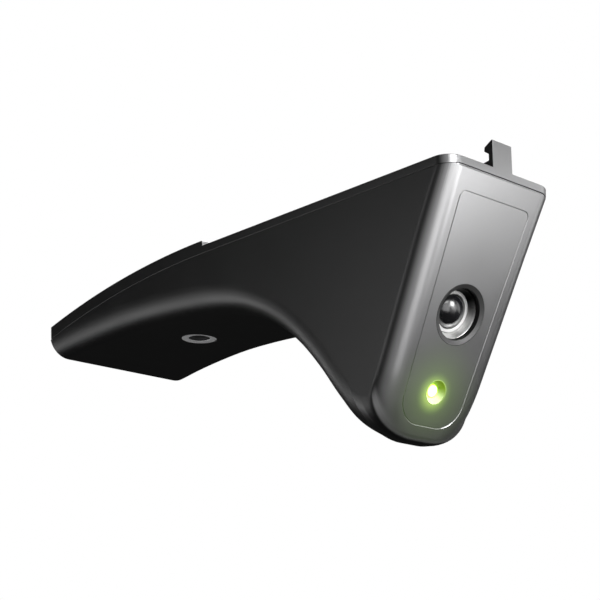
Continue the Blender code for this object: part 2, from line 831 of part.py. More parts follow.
def build_battery(wrap, tray_look, white, wire, steel):
    tray = block((0.071, 0.049, 0.0071), (-0.0885, 0, -0.01565))
    tray = place("battery_tray", tray, tray_look)
    inside = block((0.0606, 0.0466, 0.010), (BATTERY_X, 0, -0.0131))
    boolean(tray, tool("tray_inside", inside), "DIFFERENCE")
    over_tabs = block((0.010, 0.060, 0.010), (-0.0557, 0, -0.0131))
    boolean(tray, tool("tray_tab_clear", over_tabs), "DIFFERENCE")
    holes = rods(TRAY_SPOTS, SCREW_HOLE_RADIUS, -0.022, -0.017)
    boolean(tray, tool("tray_holes", holes), "DIFFERENCE")
    pack = block((0.060, 0.046, 0.0090), (BATTERY_X, 0, BATTERY_Z))
    edge = place("battery_pack", pack, wrap).modifiers.new("edge", "BEVEL")
    edge.width = 0.0016
    edge.segments = 2
    for number, (x, y) in enumerate(TRAY_SPOTS, 1):
        screw(f"tray_screw_{number}", at(x, y, TRAY_FLOOR), 0.0042, steel)

    place("battery_plug", block((0.007, 0.008, 0.0042), (-0.0365, -0.009, -0.0117)), white)
    route = (
        (-0.0616, -0.012, -0.0106),
        (-0.056, -0.012, -0.0106),
        (-0.047, -0.0092, -0.0114),
        (-0.0403, -0.009, -0.0117),
    )
    wire_path("battery_lead", smooth_path(route, 4), LEAD_RADIUS, 2, wire)


def wire_path(name, path, radius, resolution, look):
    """A round wire through the given points."""
    curve = bpy.data.curves.new(name, "CURVE")
    curve.dimensions = "3D"
    curve.bevel_depth = radius
    curve.bevel_resolution = resolution
    curve.use_fill_caps = True
    spline = curve.splines.new("POLY")
    spline.points.add(len(path) - 1)
    for target, point in zip(spline.points, path):
        target.co = (*point, 1)
    curve.materials.append(look)
    parts.objects.link(bpy.data.objects.new(name, curve))


def build_tail_board(board, film):
    tail = block((0.0285, 0.040, 0.0008), (-0.15225, 0, TAIL_BOARD_Z))
    tail = place("tail_board", tail, board)
    notch = block((0.010, 0.0102, 0.004), (-0.1643, 0, TAIL_BOARD_Z))
    boolean(tail, tool("socket_notch", notch), "DIFFERENCE")
    notch = block((0.0075, 0.0064, 0.004), (-0.16325, BUTTON_Y, TAIL_BOARD_Z))
    boolean(tail, tool("switch_notch", notch), "DIFFERENCE")
    route = (
        (-0.1420, -0.0183),
        (-0.1340, -0.0172),
        (-0.1285, -0.0110),
        (-0.1225, -0.0080),
        (-0.0900, -0.0078),
        (-0.0600, -0.0078),
        (-0.0440, -0.0071),
        (-0.0380, -0.0071),
    )
    build_ribbon("tail_ribbon", smooth_path(route, 2), (0.002, 0.010), film)


def build_socket(steel):
    frame = tail_frame(0, 0)
    shell = extruded(pill(SOCKET_WIDTH, 0.0032), -0.1702, -0.1610)
    socket = place("usb_socket", shell, steel, frame)
    mouth = extruded(pill(0.0084, 0.0026), -0.1720, -0.1630)
    boolean(socket, tool("socket_mouth", mouth, frame), "DIFFERENCE")
    tongue = block((0.0078, 0.0066, 0.0007), (-0.1658, 0, PORT_Z))
    boolean(socket, tool("socket_tongue", tongue), "UNION")


def build_button(black, chip, spring_look):
    frame = tail_frame(BUTTON_SEAT_X, BUTTON_Y)
    cap = extruded(pill(BUTTON_WIDTH, BUTTON_HEIGHT), TAIL_X - BUTTON_SEAT_X, 0.0003)
    button = place("power_button", cap, black, frame)
    flange = extruded(pill(BUTTON_WIDTH + 0.002, 0.0042), 0.0002, 0.0010)
    boolean(button, tool("button_flange", flange, frame), "UNION")
    stem = rods([(0, 0)], 0.0008, 0.0005, 0.0036)
    boolean(button, tool("button_stem", stem, frame), "UNION")

    body = block((0.0030, 0.0046, 0.0030), (-0.1617, BUTTON_Y, PORT_Z))
    switch = place("button_switch", body, chip)
    plunger = rods([(0, 0)], 0.0007, PLUNGER_X, -0.1620)
    boolean(switch, tool("switch_plunger", plunger, tail_frame(0, BUTTON_Y)), "UNION")

    each = 10
    count = int(SPRING_TURNS * each)
    coil = []
    for k in range(count + 1):
        angle = 2 * pi * k / each
        coil.append(
            (
                SPRING_START_X + SPRING_LENGTH * k / count,
                BUTTON_Y + SPRING_RADIUS * cos(angle),
                PORT_Z + SPRING_RADIUS * sin(angle),
            )
        )
    wire_path("button_spring", coil, SPRING_WIRE_RADIUS, 1, spring_look)


def build_mark(look):
    """A plain ring set flush in the underside."""
    disc = rods([(MARK_X, 0)], MARK_RADIUS, MARK_Z, MARK_Z + MARK_THICKNESS, ROUND_STEPS)
    hole = rods([(MARK_X, 0)], MARK_HOLE_RADIUS, -0.03, 0, ROUND_STEPS)
    boolean(place("underside_mark", disc, look), tool("mark_hole", hole), "DIFFERENCE")


def main():
    global parts, cutters
    clear_scene()
    parts = collection("launch_monitor")
    cutters = collection("cutters", hidden=True)

    satin_black = material("satin_black", (0.012, 0.012, 0.012), 0.32)
    silver_face = material("silver_face", (0.42, 0.42, 0.42), 0.35, 0.8)
    dark_grey = material("dark_grey", (0.05, 0.05, 0.05), 0.4)
    bright_ring = material("bright_ring", (0.8, 0.8, 0.8), 0.15, 1.0)
    barrel_grey = material("barrel_grey", (0.55, 0.55, 0.53), 0.4, 0.6)
    lens_glass = material("lens_glass", (0.02, 0.02, 0.025), 0.02, 0.0, 0.4)
    light_green = material("light_green", (0.55, 1.0, 0.1), 0.2, 0.0, 0.5, 1.0)
    board_green = material("board_green", (0.02, 0.11, 0.04), 0.5)
    chip_black = material("chip_black", (0.02, 0.02, 0.02), 0.55)
    tin_plate = material("tin_plate", (0.6, 0.6, 0.6), 0.35, 1.0)
    steel = material("steel", (0.45, 0.45, 0.46), 0.35, 1.0)
    rubber = material("rubber", (0.02, 0.02, 0.02), 0.8)
    battery_blue = material("battery_blue", (0.03, 0.09, 0.25), 0.45)
    ribbon_film = material("ribbon_film", (0.45, 0.2, 0.03), 0.4)
    connector_white = material("connector_white", (0.75, 0.73, 0.68), 0.5)
    wire_red = material("wire_red", (0.4, 0.02, 0.02), 0.5)

    build_housing(satin_black)
    build_cover(satin_black)
    build_gasket(rubber)
    build_panel(silver_face)
    build_lens(dark_grey, bright_ring, barrel_grey, lens_glass, board_green, chip_black)
    build_camera_screws(steel)
    build_radar(board_green, tin_plate, steel)
    build_status_light(board_green, light_green, light_green, steel)
    build_main_board(board_green, chip_black, tin_plate, tin_plate, steel, ribbon_film)
    build_battery(battery_blue, dark_grey, connector_white, wire_red, steel)
    build_tail_board(board_green, ribbon_film)
    build_socket(tin_plate)
    build_button(satin_black, chip_black, steel)
    build_mark(tin_plate)
    for number, (x, y) in enumerate(COVER_SPOTS, 1):
        seat = at(x, y, cover_top(x) - COUNTERBORE_DEPTH)
        screw(f"cover_screw_{number}", seat, 0.0095, steel)


main()
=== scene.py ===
import json
from math import atan2, cos, exp, pi, radians, sin, sqrt, tan

import bmesh
import bpy
from mathutils import Matrix, Vector


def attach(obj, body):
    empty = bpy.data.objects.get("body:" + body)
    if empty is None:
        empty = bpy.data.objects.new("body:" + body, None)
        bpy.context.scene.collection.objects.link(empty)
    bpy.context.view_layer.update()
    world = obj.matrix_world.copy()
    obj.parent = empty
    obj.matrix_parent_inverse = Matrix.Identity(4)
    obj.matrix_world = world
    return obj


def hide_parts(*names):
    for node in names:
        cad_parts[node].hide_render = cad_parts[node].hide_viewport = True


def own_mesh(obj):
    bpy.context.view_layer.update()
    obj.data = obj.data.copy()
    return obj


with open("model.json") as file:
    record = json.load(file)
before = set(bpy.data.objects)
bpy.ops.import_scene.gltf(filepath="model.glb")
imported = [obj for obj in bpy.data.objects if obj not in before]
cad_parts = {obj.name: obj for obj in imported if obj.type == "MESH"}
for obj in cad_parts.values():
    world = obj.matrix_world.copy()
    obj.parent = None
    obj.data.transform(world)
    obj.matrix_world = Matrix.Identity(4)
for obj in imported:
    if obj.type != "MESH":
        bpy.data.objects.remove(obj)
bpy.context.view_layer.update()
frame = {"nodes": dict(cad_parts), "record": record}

nodes = frame["nodes"]
RAW = bpy.context.scene.collection

# Outer form, the same numbers as the CAD's ------------------------

FRONT_X = 0.06415
TAIL_X = -0.1707
STEP_X = -0.06415
FRONT_HALF_WIDTH = 0.0265
PLAN_FLARE = 0.05578
SIDE_DRAFT = 0.07332
RIM_HEIGHT = 0.00342
PAD_HEIGHT = 0.00207
TAIL_TOP_RADIUS = 0.4426
FACE_TILT = 0.4678
FACE_LENGTH = 0.0955
ENVELOPE_TOP = 0.012
WALL = 0.0024
COVER_THICKNESS = 0.0022
SEAM_GAP = 0.0003

EDGE_TAIL = 0.001
EDGE_UNDERSIDE = 0.0102
EDGE_TAIL_LOSS = 0.0008
EDGE_HEAD_BACK = 0.0111
EDGE_HEAD_BOTTOM = 0.0190
EDGE_FACE = 0.0067
CHIN_RADIUS = 0.0039
CHIN_PULL = 0.0142
FACE_PULL = 0.0118
TAIL_BLEND = 0.03
HEAD_FROM_X = -0.05
CHIN_FROM_X = -0.003

UNDERSIDE = (
    (TAIL_X, -0.0238),
    (-0.1531, -0.0226),
    (-0.1213, -0.0217),
    (-0.0948, -0.0228),
    (-0.0683, -0.0254),
    (-0.0520, -0.0286),
    (-0.0418, -0.0324),
    (-0.0300, -0.0390),
    (-0.0187, -0.0485),
    (-0.0084, -0.0604),
    (0.0006, -0.0732),
    (0.0069, -0.0821),
    (0.0154, -0.0881),
)

PANEL_TOP = 0.0079
PANEL_BOTTOM = 0.0892
PANEL_MARGIN = 0.00884
PANEL_TOP_RADIUS = 0.0024
PANEL_BOTTOM_RADIUS = 0.0098
PANEL_THICKNESS = 0.0013
PANEL_GAP = 0.00015
PANEL_GROOVE_WIDTH = 0.0003
PANEL_GROOVE_DEPTH = 0.0003
PANEL_GROOVE_EASE = 0.00013
LENS_DOWN = 0.0487
LIGHT_DOWN = 0.0769
RADAR_DOWN = 0.0220
LENS_HOLE_RADIUS = 0.0110
LIGHT_HOLE_RADIUS = 0.0045

HOOK_WIDTH = 0.00977
HOOK_HEIGHT = 0.01019
HOOK_STEM = 0.0020
HOOK_REACH = 0.0040
HOOK_TIP_TOP = 0.0084
HOOK_TIP_BOTTOM = 0.0066
HOOK_CATCH = 0.0054
HOOK_FOOT_HEIGHT = 0.0028
HOOK_FOOT_LENGTH = 0.0075

COUNTERBORE_RADIUS = 0.0022
COUNTERBORE_DEPTH = 0.0013
SCREW_HOLE_RADIUS = 0.00125
SCREW_HEAD_RADIUS = 0.0019
SCREW_HEAD_HEIGHT = 0.0011
SCREW_SHANK_RADIUS = 0.00095
BOSS_RADIUS = 0.0030
POST_RADIUS = 0.0026

PORT_Z = -0.0189
PORT_HEIGHT = 0.0036
PORT_GAP = 0.0006
SOCKET_WIDTH = 0.0090
SOCKET_HEIGHT = 0.0032
SOCKET_WALL = 0.0003
BUTTON_Y = 0.015
BUTTON_WIDTH = 0.0080
BUTTON_HEIGHT = 0.0030
BUTTON_SEAT_X = TAIL_X + 0.0027
SPRING_START_X = TAIL_X + 0.0040
SPRING_LENGTH = 0.0031
SPRING_RADIUS = 0.00125
SPRING_TURNS = 3.5
SPRING_WIRE_RADIUS = 0.00014

MARK_X = -0.111
MARK_RADIUS = 0.0075
MARK_HOLE_RADIUS = 0.00465
MARK_Z = -0.0217
MARK_THICKNESS = 0.0004

# Fillet round the chin, smoother here than in the CAD, whose box it stays in by the lift
CHIN_TOP_Z = -0.066
EVENED_LENGTH = 0.0035
CHIN_LIFT = 0.000025
LEAST_RADIUS = 0.0004

# Seam between the lid and the housing: a groove across the front, eased edges along the sides
HAIRLINE = 0.00006
GROOVE_DEPTH = 0.00045
GROOVE_HEIGHT = 0.00042
SIDE_CHAMFER = 0.00006
LIP = 0.0003
TOP_EDGE = 0.0004
PAD_CHAMFER = 0.0003
STEP_WIDTH = 0.00002

# Helpers reach this far past the body, and are this wide
BEYOND = 0.02
HELPER_WIDTH = 0.12


def both_sides(*spots):
    return [(x, side * y) for x, y in spots for side in (-1, 1)]


COVER_SPOTS = both_sides((0.052, 0.0210), (-0.030, 0.0258), (-0.135, 0.0310))
BOARD_SPOTS = both_sides((0.038, 0.015), (-0.036, 0.015))
TRAY_SPOTS = both_sides((-0.057, 0.016))
CAMERA_SPOTS = both_sides((0.012, 0.012), (-0.012, 0.012))
RADAR_SPOTS = both_sides((0.0115, 0.0085), (-0.0115, 0.0085))
STATUS_SPOTS = [(0.0075, 0), (-0.0075, 0)]


# Solids ------------------------


def at(x, y, z):
    return Matrix.Translation((x, y, z))


def raw(name, bm, where=None):
    """An object from a bmesh, not yet a finished piece."""
    bmesh.ops.recalc_face_normals(bm, faces=bm.faces)
    mesh = bpy.data.meshes.new(name)
    bm.to_mesh(mesh)
    bm.free()
    if where is not None:
        mesh.transform(where)
    made = bpy.data.objects.new(name, mesh)
    RAW.objects.link(made)
    return made


def combine(target, other, operation, where=None):
    """Adds a Boolean with a helper made from a bmesh, or with a helper object."""
    step = target.modifiers.new("cut", "BOOLEAN")
    step.operation = operation
    step.object = other if isinstance(other, bpy.types.Object) else raw("helper", other, where)


def soften(target, width, segments, angle=40):
    step = target.modifiers.new("edge", "BEVEL")
    step.width = width
    step.segments = segments
    step.limit_method = "ANGLE"
    step.angle_limit = radians(angle)


def settle(target):
    """Applies every modifier and deletes the helpers."""
    helpers = {m.object for m in target.modifiers if m.type == "BOOLEAN"}
    graph = bpy.context.evaluated_depsgraph_get()
    done = bpy.data.meshes.new_from_object(target.evaluated_get(graph))
    target.modifiers.clear()
    target.data = done
    for helper in helpers:
        bpy.data.objects.remove(helper)


def finish_piece(target, slot, replaced=(), body="monitor", sharp=32):
    """Smooth shading, material, body and slot for a visible piece."""
    settle(target)
    mesh = target.data
    mesh.materials.clear()
    mesh.materials.append(looks[slot])
    mesh.shade_smooth()
    mesh.set_sharp_from_angle(angle=radians(sharp))
    step = target.modifiers.new("normals", "WEIGHTED_NORMAL")
    step.mode = "FACE_AREA"
    step.keep_sharp = True
    settle(target)
    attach(target, body)
    if replaced:
        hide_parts(*replaced)


def block(size, centre=(0, 0, 0)):
    bm = bmesh.new()
    bmesh.ops.create_cube(bm, size=1, matrix=at(*centre) @ Matrix.Diagonal((*size, 1)))
    return bm


def rods(spots, radius, low, high, steps=32):
    bm = bmesh.new()
    for x, y in spots:
        bmesh.ops.create_cone(
            bm,
            cap_ends=True,
            segments=steps,
            radius1=radius,
            radius2=radius,
            depth=high - low,
            matrix=at(x, y, (low + high) / 2),
        )
    return bm


def skin(bm, loops, closed=False):
    """Faces between rings of equal length; gives the rings back as vertices."""
    rows = [[bm.verts.new(point) for point in loop] for loop in loops]
    count = len(rows[0])
    following = rows[1:] + rows[:1] if closed else rows[1:]
    for a, b in zip(rows, following):
        for i in range(count):
            j = (i + 1) % count
            bm.faces.new((a[i], a[j], b[j], b[i]))
    return rows


def loft(loops):
    """Skins rings of equal length and caps both ends."""
    bm = bmesh.new()
    rows = skin(bm, loops)
    bm.faces.new(rows[0][::-1])
    bm.faces.new(rows[-1])
    return bm


def prism(outline, width=HELPER_WIDTH):
    """A closed outline in the XZ plane, extruded along Y."""
    return loft([[(x, y, z) for x, z in outline] for y in (-width / 2, width / 2)])


def plate(levels, outline_at):
    """Stacks an outline in the local XY plane: levels are (z, growth)."""
    return loft([[(x, y, z) for x, y in outline_at(grow)] for z, grow in levels])


def rounded(corners, radii):
    """A convex outline with each corner turned into an arc."""
    steps = 16
    outline = []
    count = len(corners)
    for i, radius in enumerate(radii):
        corner = Vector(corners[i])
        back = (Vector(corners[i - 1]) - corner).normalized()
        ahead = (Vector(corners[(i + 1) % count]) - corner).normalized()
        half = back.angle(ahead) / 2
        centre = corner + (back + ahead).normalized() * radius / sin(half)
        first = corner + back * radius / tan(half) - centre
        turn = first.angle_signed(corner + ahead * radius / tan(half) - centre)
        for k in range(steps + 1):
            arm = first.copy()
            arm.rotate(Matrix.Rotation(-turn * k / steps, 2))
            outline.append(tuple(centre + arm))
    return outline


def pill(width, height):
    """An outline with round ends, as a function of how far it grows."""
    steps = 20
    half = (width - height) / 2

    def outline(grow):
        radius = height / 2 + grow
        turns = [-pi / 2 + pi * k / steps for k in range(steps + 1)]
        end = [(half + radius * cos(turn), radius * sin(turn)) for turn in turns]
        return end + [(-x, -y) for x, y in end]

    return outline


def lathe(profile, steps=96):
    """Spins (radius, height) points about local Z; points on the axis close it."""
    bm = bmesh.new()
    rows = []
    for k in range(steps):
        angle = 2 * pi * k / steps
        rows.append([(r * cos(angle), r * sin(angle), z) for r, z in profile])
    poles = {}
    made = []
    for row in rows:
        line = []
        for i, point in enumerate(row):
            if profile[i][0] == 0:
                if i not in poles:
                    poles[i] = bm.verts.new(point)
                line.append(poles[i])
            else:
                line.append(bm.verts.new(point))
        made.append(line)
    count = len(profile)
    ring = not poles
    for k in range(steps):
        a, b = made[k], made[(k + 1) % steps]
        for i in range(count if ring else count - 1):
            j = (i + 1) % count
            corners = [a[i], a[j], b[j], b[i]]
            unique = [v for n, v in enumerate(corners) if v not in corners[:n]]
            if len(unique) > 2:
                bm.faces.new(unique)
    return bm


def eased(profile, size, closed=True):
    """Rounds the corners of a profile; one on the axis stays."""
    steps = 3
    made = []
    count = len(profile)
    for i, point in enumerate(profile):
        here = Vector(point)
        if point[0] == 0 or (not closed and i in (0, count - 1)):
            made.append(point)
            continue
        before = Vector(profile[i - 1]) - here
        after = Vector(profile[(i + 1) % count]) - here
        cut = min(size, before.length * 0.45, after.length * 0.45)
        start = here + before.normalized() * cut
        end = here + after.normalized() * cut
        for k in range(steps + 1):
            u = k / steps
            made.append(tuple(start * (1 - u) ** 2 + here * 2 * u * (1 - u) + end * u * u))
    return made


def dome(radius, height, centre_z, base_z, turn=pi / 2, steps=24):
    """The profile of a cap, part of an ellipse, on a straight edge and a flat base."""
    profile = []
    for k in range(steps + 1):
        angle = turn * k / steps
        profile.append((radius * sin(angle), centre_z + height * cos(angle)))
    return profile + [(profile[-1][0], base_z), (0, base_z)]


# Outer form ------------------------


def smooth_path(points, each):
    """A smooth curve through points, with a number of steps between each two."""
    path = []
    count = len(points)
    for i in range(count - 1):
        p1 = Vector(points[i])
        p2 = Vector(points[i + 1])
        p0 = Vector(points[i - 1]) if i else 2 * p1 - p2
        p3 = Vector(points[i + 2]) if i + 2 < count else 2 * p2 - p1
        for k in range(each):
            u = k / each
            bend = (2 * p0 - 5 * p1 + 4 * p2 - p3) * u * u
            twist = (3 * p1 - p0 - 3 * p2 + p3) * u**3
            path.append(0.5 * (2 * p1 + (p2 - p0) * u + bend + twist))
    path.append(Vector(points[-1]))
    return path


def half_width(x, z):
    return FRONT_HALF_WIDTH - (x - FRONT_X) * PLAN_FLARE + z * SIDE_DRAFT


def tail_drop(x):
    back = max(STEP_X - x, 0.0)
    return TAIL_TOP_RADIUS - sqrt(TAIL_TOP_RADIUS**2 - back**2)


def face_point(down):
    return Vector((FRONT_X - down * sin(FACE_TILT), -RIM_HEIGHT - down * cos(FACE_TILT)))


def face_frame(down):
    """Local X across the face, Y up it and Z out of it."""
    x, z = face_point(down)
    turn = Matrix(
        (
            (0, sin(FACE_TILT), cos(FACE_TILT)),
            (1, 0, 0),
            (0, cos(FACE_TILT), -sin(FACE_TILT)),
        )
    )
    return at(x, 0, z) @ turn.to_4x4()


def tail_frame(x, across):
    """Local X across the tail end, Y up and Z towards the head, at the ports' height."""
    turn = Matrix(((0, 0, 1), (1, 0, 0), (0, 1, 0)))
    return at(x, across, PORT_Z) @ turn.to_4x4()


def ease(value, start, end):
    u = min(max((value - start) / (end - start), 0.0), 1.0)
    return u * u * (3 - 2 * u)


def stations(fine):
    """Side-view outline as (point, pull, radius); fine multiplies the number of steps."""
    up_face = Vector((sin(FACE_TILT), cos(FACE_TILT)))
    into_face = Vector((-cos(FACE_TILT), sin(FACE_TILT)))
    found = [(Vector((TAIL_X, ENVELOPE_TOP)), Vector((0, 0)), EDGE_TAIL)]

    spine = smooth_path(UNDERSIDE, 2 * fine)
    for i, point in enumerate(spine):
        along = spine[min(i + 1, len(spine) - 1)] - spine[max(i - 1, 0)]
        inward = Vector((-along.y, along.x)).normalized()
        near_chin = ease(point.x, CHIN_FROM_X, spine[-1].x)
        near_tail = 1 - ease(point.x, TAIL_X, TAIL_X + TAIL_BLEND)
        inward = inward.lerp(Vector((0, 1)), near_tail + near_chin * 0.9).normalized()
        depth = EDGE_UNDERSIDE - EDGE_TAIL_LOSS * near_tail
        depth += (EDGE_HEAD_BACK - depth) * ease(point.x, HEAD_FROM_X, 0.0)
        radius = depth + (EDGE_HEAD_BOTTOM - depth) * near_chin
        depth += (CHIN_PULL - depth) * near_chin
        found.append((point, inward * depth, radius))

    corner = face_point(FACE_LENGTH)
    back = (spine[-1] - corner).normalized()
    half = back.angle(up_face) / 2
    reach = CHIN_RADIUS / tan(half)
    centre = corner + (back + up_face).normalized() * CHIN_RADIUS / sin(half)
    first = corner + back * reach - centre
    turn = first.angle_signed(up_face * reach + corner - centre)
    chin_pull = up_face * FACE_PULL + into_face * EDGE_FACE
    last_pull = found[-1][1]
    for k in range(4 * fine + 1):
        u = k / (4 * fine)
        arm = first.copy()
        arm.rotate(Matrix.Rotation(-turn * u, 2))
        found.append((centre + arm, last_pull.lerp(chin_pull, u), EDGE_HEAD_BOTTOM))

    start = FACE_LENGTH - reach
    blend = EDGE_HEAD_BOTTOM * 1.15
    for k in range(1, 4 * fine + 1):
        u = k / (4 * fine)
        radius = EDGE_HEAD_BOTTOM + (EDGE_FACE - EDGE_HEAD_BOTTOM) * sqrt(1 - (1 - u) ** 2)
        pull = into_face * EDGE_FACE + up_face * FACE_PULL * (1 - u)
        found.append((face_point(start - u * blend), pull, radius))
    for k in range(1, 3):
        down = (start - blend) * (1 - k / 3)
        found.append((face_point(down), into_face * EDGE_FACE, EDGE_FACE))
    level = Vector((-EDGE_FACE, 0))
    found = found[:1] + spread(evened(found[1:]))
    found.append((face_point(0), level, EDGE_FACE))
    found.append((Vector((FRONT_X, ENVELOPE_TOP)), level, EDGE_FACE))
    return found


def evened(found):
    """Averages pulls and radii along the outline round the chin, and lifts its lowest stretch."""
    along = [0.0]
    for a, b in zip(found, found[1:]):
        along.append(along[-1] + (b[0] - a[0]).length)
    result = []
    for i, (point, pull, radius) in enumerate(found):
        share = ease(point.x, -0.03, -0.01) * ease(-point.y, 0.030, 0.045)
        total, mean_pull, mean_radius = 0.0, Vector((0, 0)), 0.0
        for j, (_, other_pull, other_radius) in enumerate(found):
            spacing = along[min(j + 1, len(along) - 1)] - along[max(j - 1, 0)]
            weight = spacing * exp(-(((along[i] - along[j]) / EVENED_LENGTH) ** 2) / 2)
            total += weight
            mean_pull += other_pull * weight
            mean_radius += other_radius * weight
        pull = pull.lerp(mean_pull / total, share)
        lift = Vector((0, CHIN_LIFT)) * ease(-point.y, 0.080, 0.088)
        result.append((point + lift, pull, radius + (mean_radius / total - radius) * share))
    return result


def spread(found):
    """Spaces the fillet's inner line round the chin by length and by turn in equal shares."""
    span = [i for i, (point, _, _) in enumerate(found) if point.y < CHIN_TOP_Z]
    first, last = span[0], span[-1]
    points = [found[i][0] for i in range(first - 1, last + 2)]
    inner = [found[i][0] + found[i][1] for i in range(first, last + 1)]
    steps = [(b - a).length for a, b in zip(points[1:], points[2:])][:-1]
    turns = [(b - a).angle(c - b) for a, b, c in zip(points, points[1:], points[2:])][:-1]
    share, walked = [0.0], [0.0]
    for k, (step, turn) in enumerate(zip(steps, turns)):
        share.append(share[-1] + 0.5 * step / sum(steps) + 0.5 * turn / sum(turns))
        walked.append(walked[-1] + (inner[k + 1] - inner[k]).length)
    result = list(found)
    k = 0
    for i, (point, _, radius) in enumerate(found[first : last + 1]):
        goal = share[i] * walked[-1]
        while k < len(walked) - 2 and walked[k + 1] < goal:
            k += 1
        u = (goal - walked[k]) / (walked[k + 1] - walked[k])
        result[first + i] = (point, inner[k].lerp(inner[k + 1], min(u, 1.0)) - point, radius)
    return result


def envelope(inset=0.0, fine=4, fillet=16):
    """The closed outer form, or the same form a distance inside it."""
    outline = stations(fine)
    count = len(outline)
    ring = []
    for i, (point, pull, radius) in enumerate(outline):
        before = (point - outline[i - 1][0]).normalized()
        after = (outline[(i + 1) % count][0] - point).normalized()
        n1 = Vector((-before.y, before.x))
        n2 = Vector((-after.y, after.x))
        moved = point + (n1 + n2) * inset / (1 + n1.dot(n2))
        shrink = max(pull.length - inset, 0.0) / pull.length if pull.length else 0.0
        ring.append((moved, pull * shrink, max(radius - inset, LEAST_RADIUS)))

    slices = []
    for side in (-1, 1):
        rows = []
        for k in range(fillet + 1):
            angle = pi / 2 * k / fillet
            row = []
            for point, pull, radius in ring:
                x, z = point + pull * (1 - cos(angle))
                y = half_width(x, z) - inset - radius * (1 - sin(angle))
                row.append((x, side * y, z))
            rows.append(row)
        slices.append(rows)
    near, far = slices
    return loft(near[::-1] + far)


def band(low, high, steps=40):
    """A side prism between two lines parallel to the parting line."""
    far_tail = TAIL_X - BEYOND
    line = [STEP_X + (far_tail - STEP_X) * k / steps for k in range(steps + 1)]
    upper, lower = ([(x, z - tail_drop(x)) for x in (FRONT_X + BEYOND, *line)] for z in (high, low))
    return prism(upper + lower[::-1])


def plan_columns():
    """The lid's plan outline from the tail to the middle of the front, on the near side.

    Each column is (x, y inwards from the side line, inward direction, how far it is on the front).
    """
    columns = [(TAIL_X, EDGE_TAIL, Vector((1, 0)), 0.0)]
    for k in range(1, 6):
        angle = pi / 2 * k / 6
        out = Vector((-cos(angle), -sin(angle)))
        x = TAIL_X + EDGE_TAIL * (1 + out.x)
        columns.append((x, EDGE_TAIL * (1 + out.y), -out, 0.0))
    start = TAIL_X + EDGE_TAIL
    stop = FRONT_X - EDGE_FACE
    for k in range(41):
        columns.append((start + (STEP_X - PAD_CHAMFER - start) * k / 40, 0.0, Vector((0, 1)), 0.0))
    for x in (STEP_X, STEP_X + STEP_WIDTH):
        columns.append((x, 0.0, Vector((0, 1)), 0.0))
    for k in range(1, 25):
        x = STEP_X + (stop - STEP_X) * k / 24
        columns.append((x, 0.0, Vector((0, 1)), 0.0))
    for k in range(1, 25):
        angle = pi / 2 * k / 24
        out = Vector((sin(angle), -cos(angle)))
        x = stop + EDGE_FACE * sin(angle)
        columns.append((x, EDGE_FACE * (1 - cos(angle)), -out, ease(k / 24, 0.45, 1.0)))
    return columns


def plan_point(column, z, inset):
    x, across, inward, _ = column
    front = FRONT_X - inset if inward.x < -0.999 else FRONT_X
    y = half_width(x, z) - across - inward.y * inset
    return (min(x + inward.x * inset, front), -y, z)


def plan_ring(columns, height, inset):
    """A closed ring of points round the lid; height and inset are functions of a column."""
    near = [plan_point(column, height(column), inset(column)) for column in columns]
    return near + [(x, -y, z) for x, y, z in near[::-1]]


def groove(column, side, front):
    """A groove measure, blended from the side to the front round the corner."""
    return side + (front - side) * column[3]


def lid_loops():
    """Rings of the lid from its lower edge to its upper one, with both edges eased."""
    columns = plan_columns()

    def bottom(c):
        return -RIM_HEIGHT + HAIRLINE / 2 - tail_drop(c[0])

    def top(c):
        if c[0] > STEP_X + STEP_WIDTH / 2:
            return 0.0
        chamfer = PAD_CHAMFER if c[0] > STEP_X - PAD_CHAMFER / 2 else 0.0
        return PAD_HEIGHT - chamfer - tail_drop(c[0])

    # How far each ring rises and how far in it lies, at the side and at the front
    lip_rings = (
        (0, 0, 1, 1),
        (0.08, 0.85, 0.7, 1),
        (0.45, 1, 0.25, 0.25),
        (1, 1.25, 0, 0),
    )
    rings = []
    for side, front, side_in, front_in in lip_rings:
        rings.append(
            plan_ring(
                columns,
                lambda c: bottom(c) + groove(c, LIP * side, GROOVE_HEIGHT * front),
                lambda c: groove(c, LIP * side_in, GROOVE_DEPTH * front_in),
            )
        )
    for k in range(6):
        angle = pi / 2 * k / 5
        rings.append(
            plan_ring(
                columns,
                lambda c: top(c) - TOP_EDGE * (1 - sin(angle)),
                lambda c: TOP_EDGE * (1 - cos(angle)),
            )
        )
    return rings


def lid_solid():
    """Side walls from the rings; the caps are strips across, because the tail curves."""
    bm = bmesh.new()
    rows = skin(bm, lid_loops())
    count = len(rows[0])
    for row in (rows[0], rows[-1]):
        for i in range(count // 2 - 1):
            bm.faces.new((row[i], row[i + 1], row[count - 2 - i], row[count - 1 - i]))
    return bm


def groove_cutter():
    """A ring that takes the housing's share of the groove."""
    columns = plan_columns()
    above = 0.0008
    outside = -0.001

    def depth(c):
        return groove(c, SIDE_CHAMFER, GROOVE_DEPTH)

    def lower(c):
        return -groove(c, SIDE_CHAMFER, GROOVE_HEIGHT)

    section = (
        (lambda c: above, depth),
        (lambda c: -groove(c, HAIRLINE / 2, GROOVE_HEIGHT), depth),
        (lambda c: lower(c) - 0.00012, lambda c: -0.00006),
        (lambda c: lower(c) - 0.00014, lambda c: outside),
        (lambda c: above, lambda c: outside),
    )
    rings = [
        plan_ring(columns, lambda c: -RIM_HEIGHT - tail_drop(c[0]) + rise(c), inset)
        for rise, inset in section
    ]
    bm = bmesh.new()
    skin(bm, rings, closed=True)
    return bm


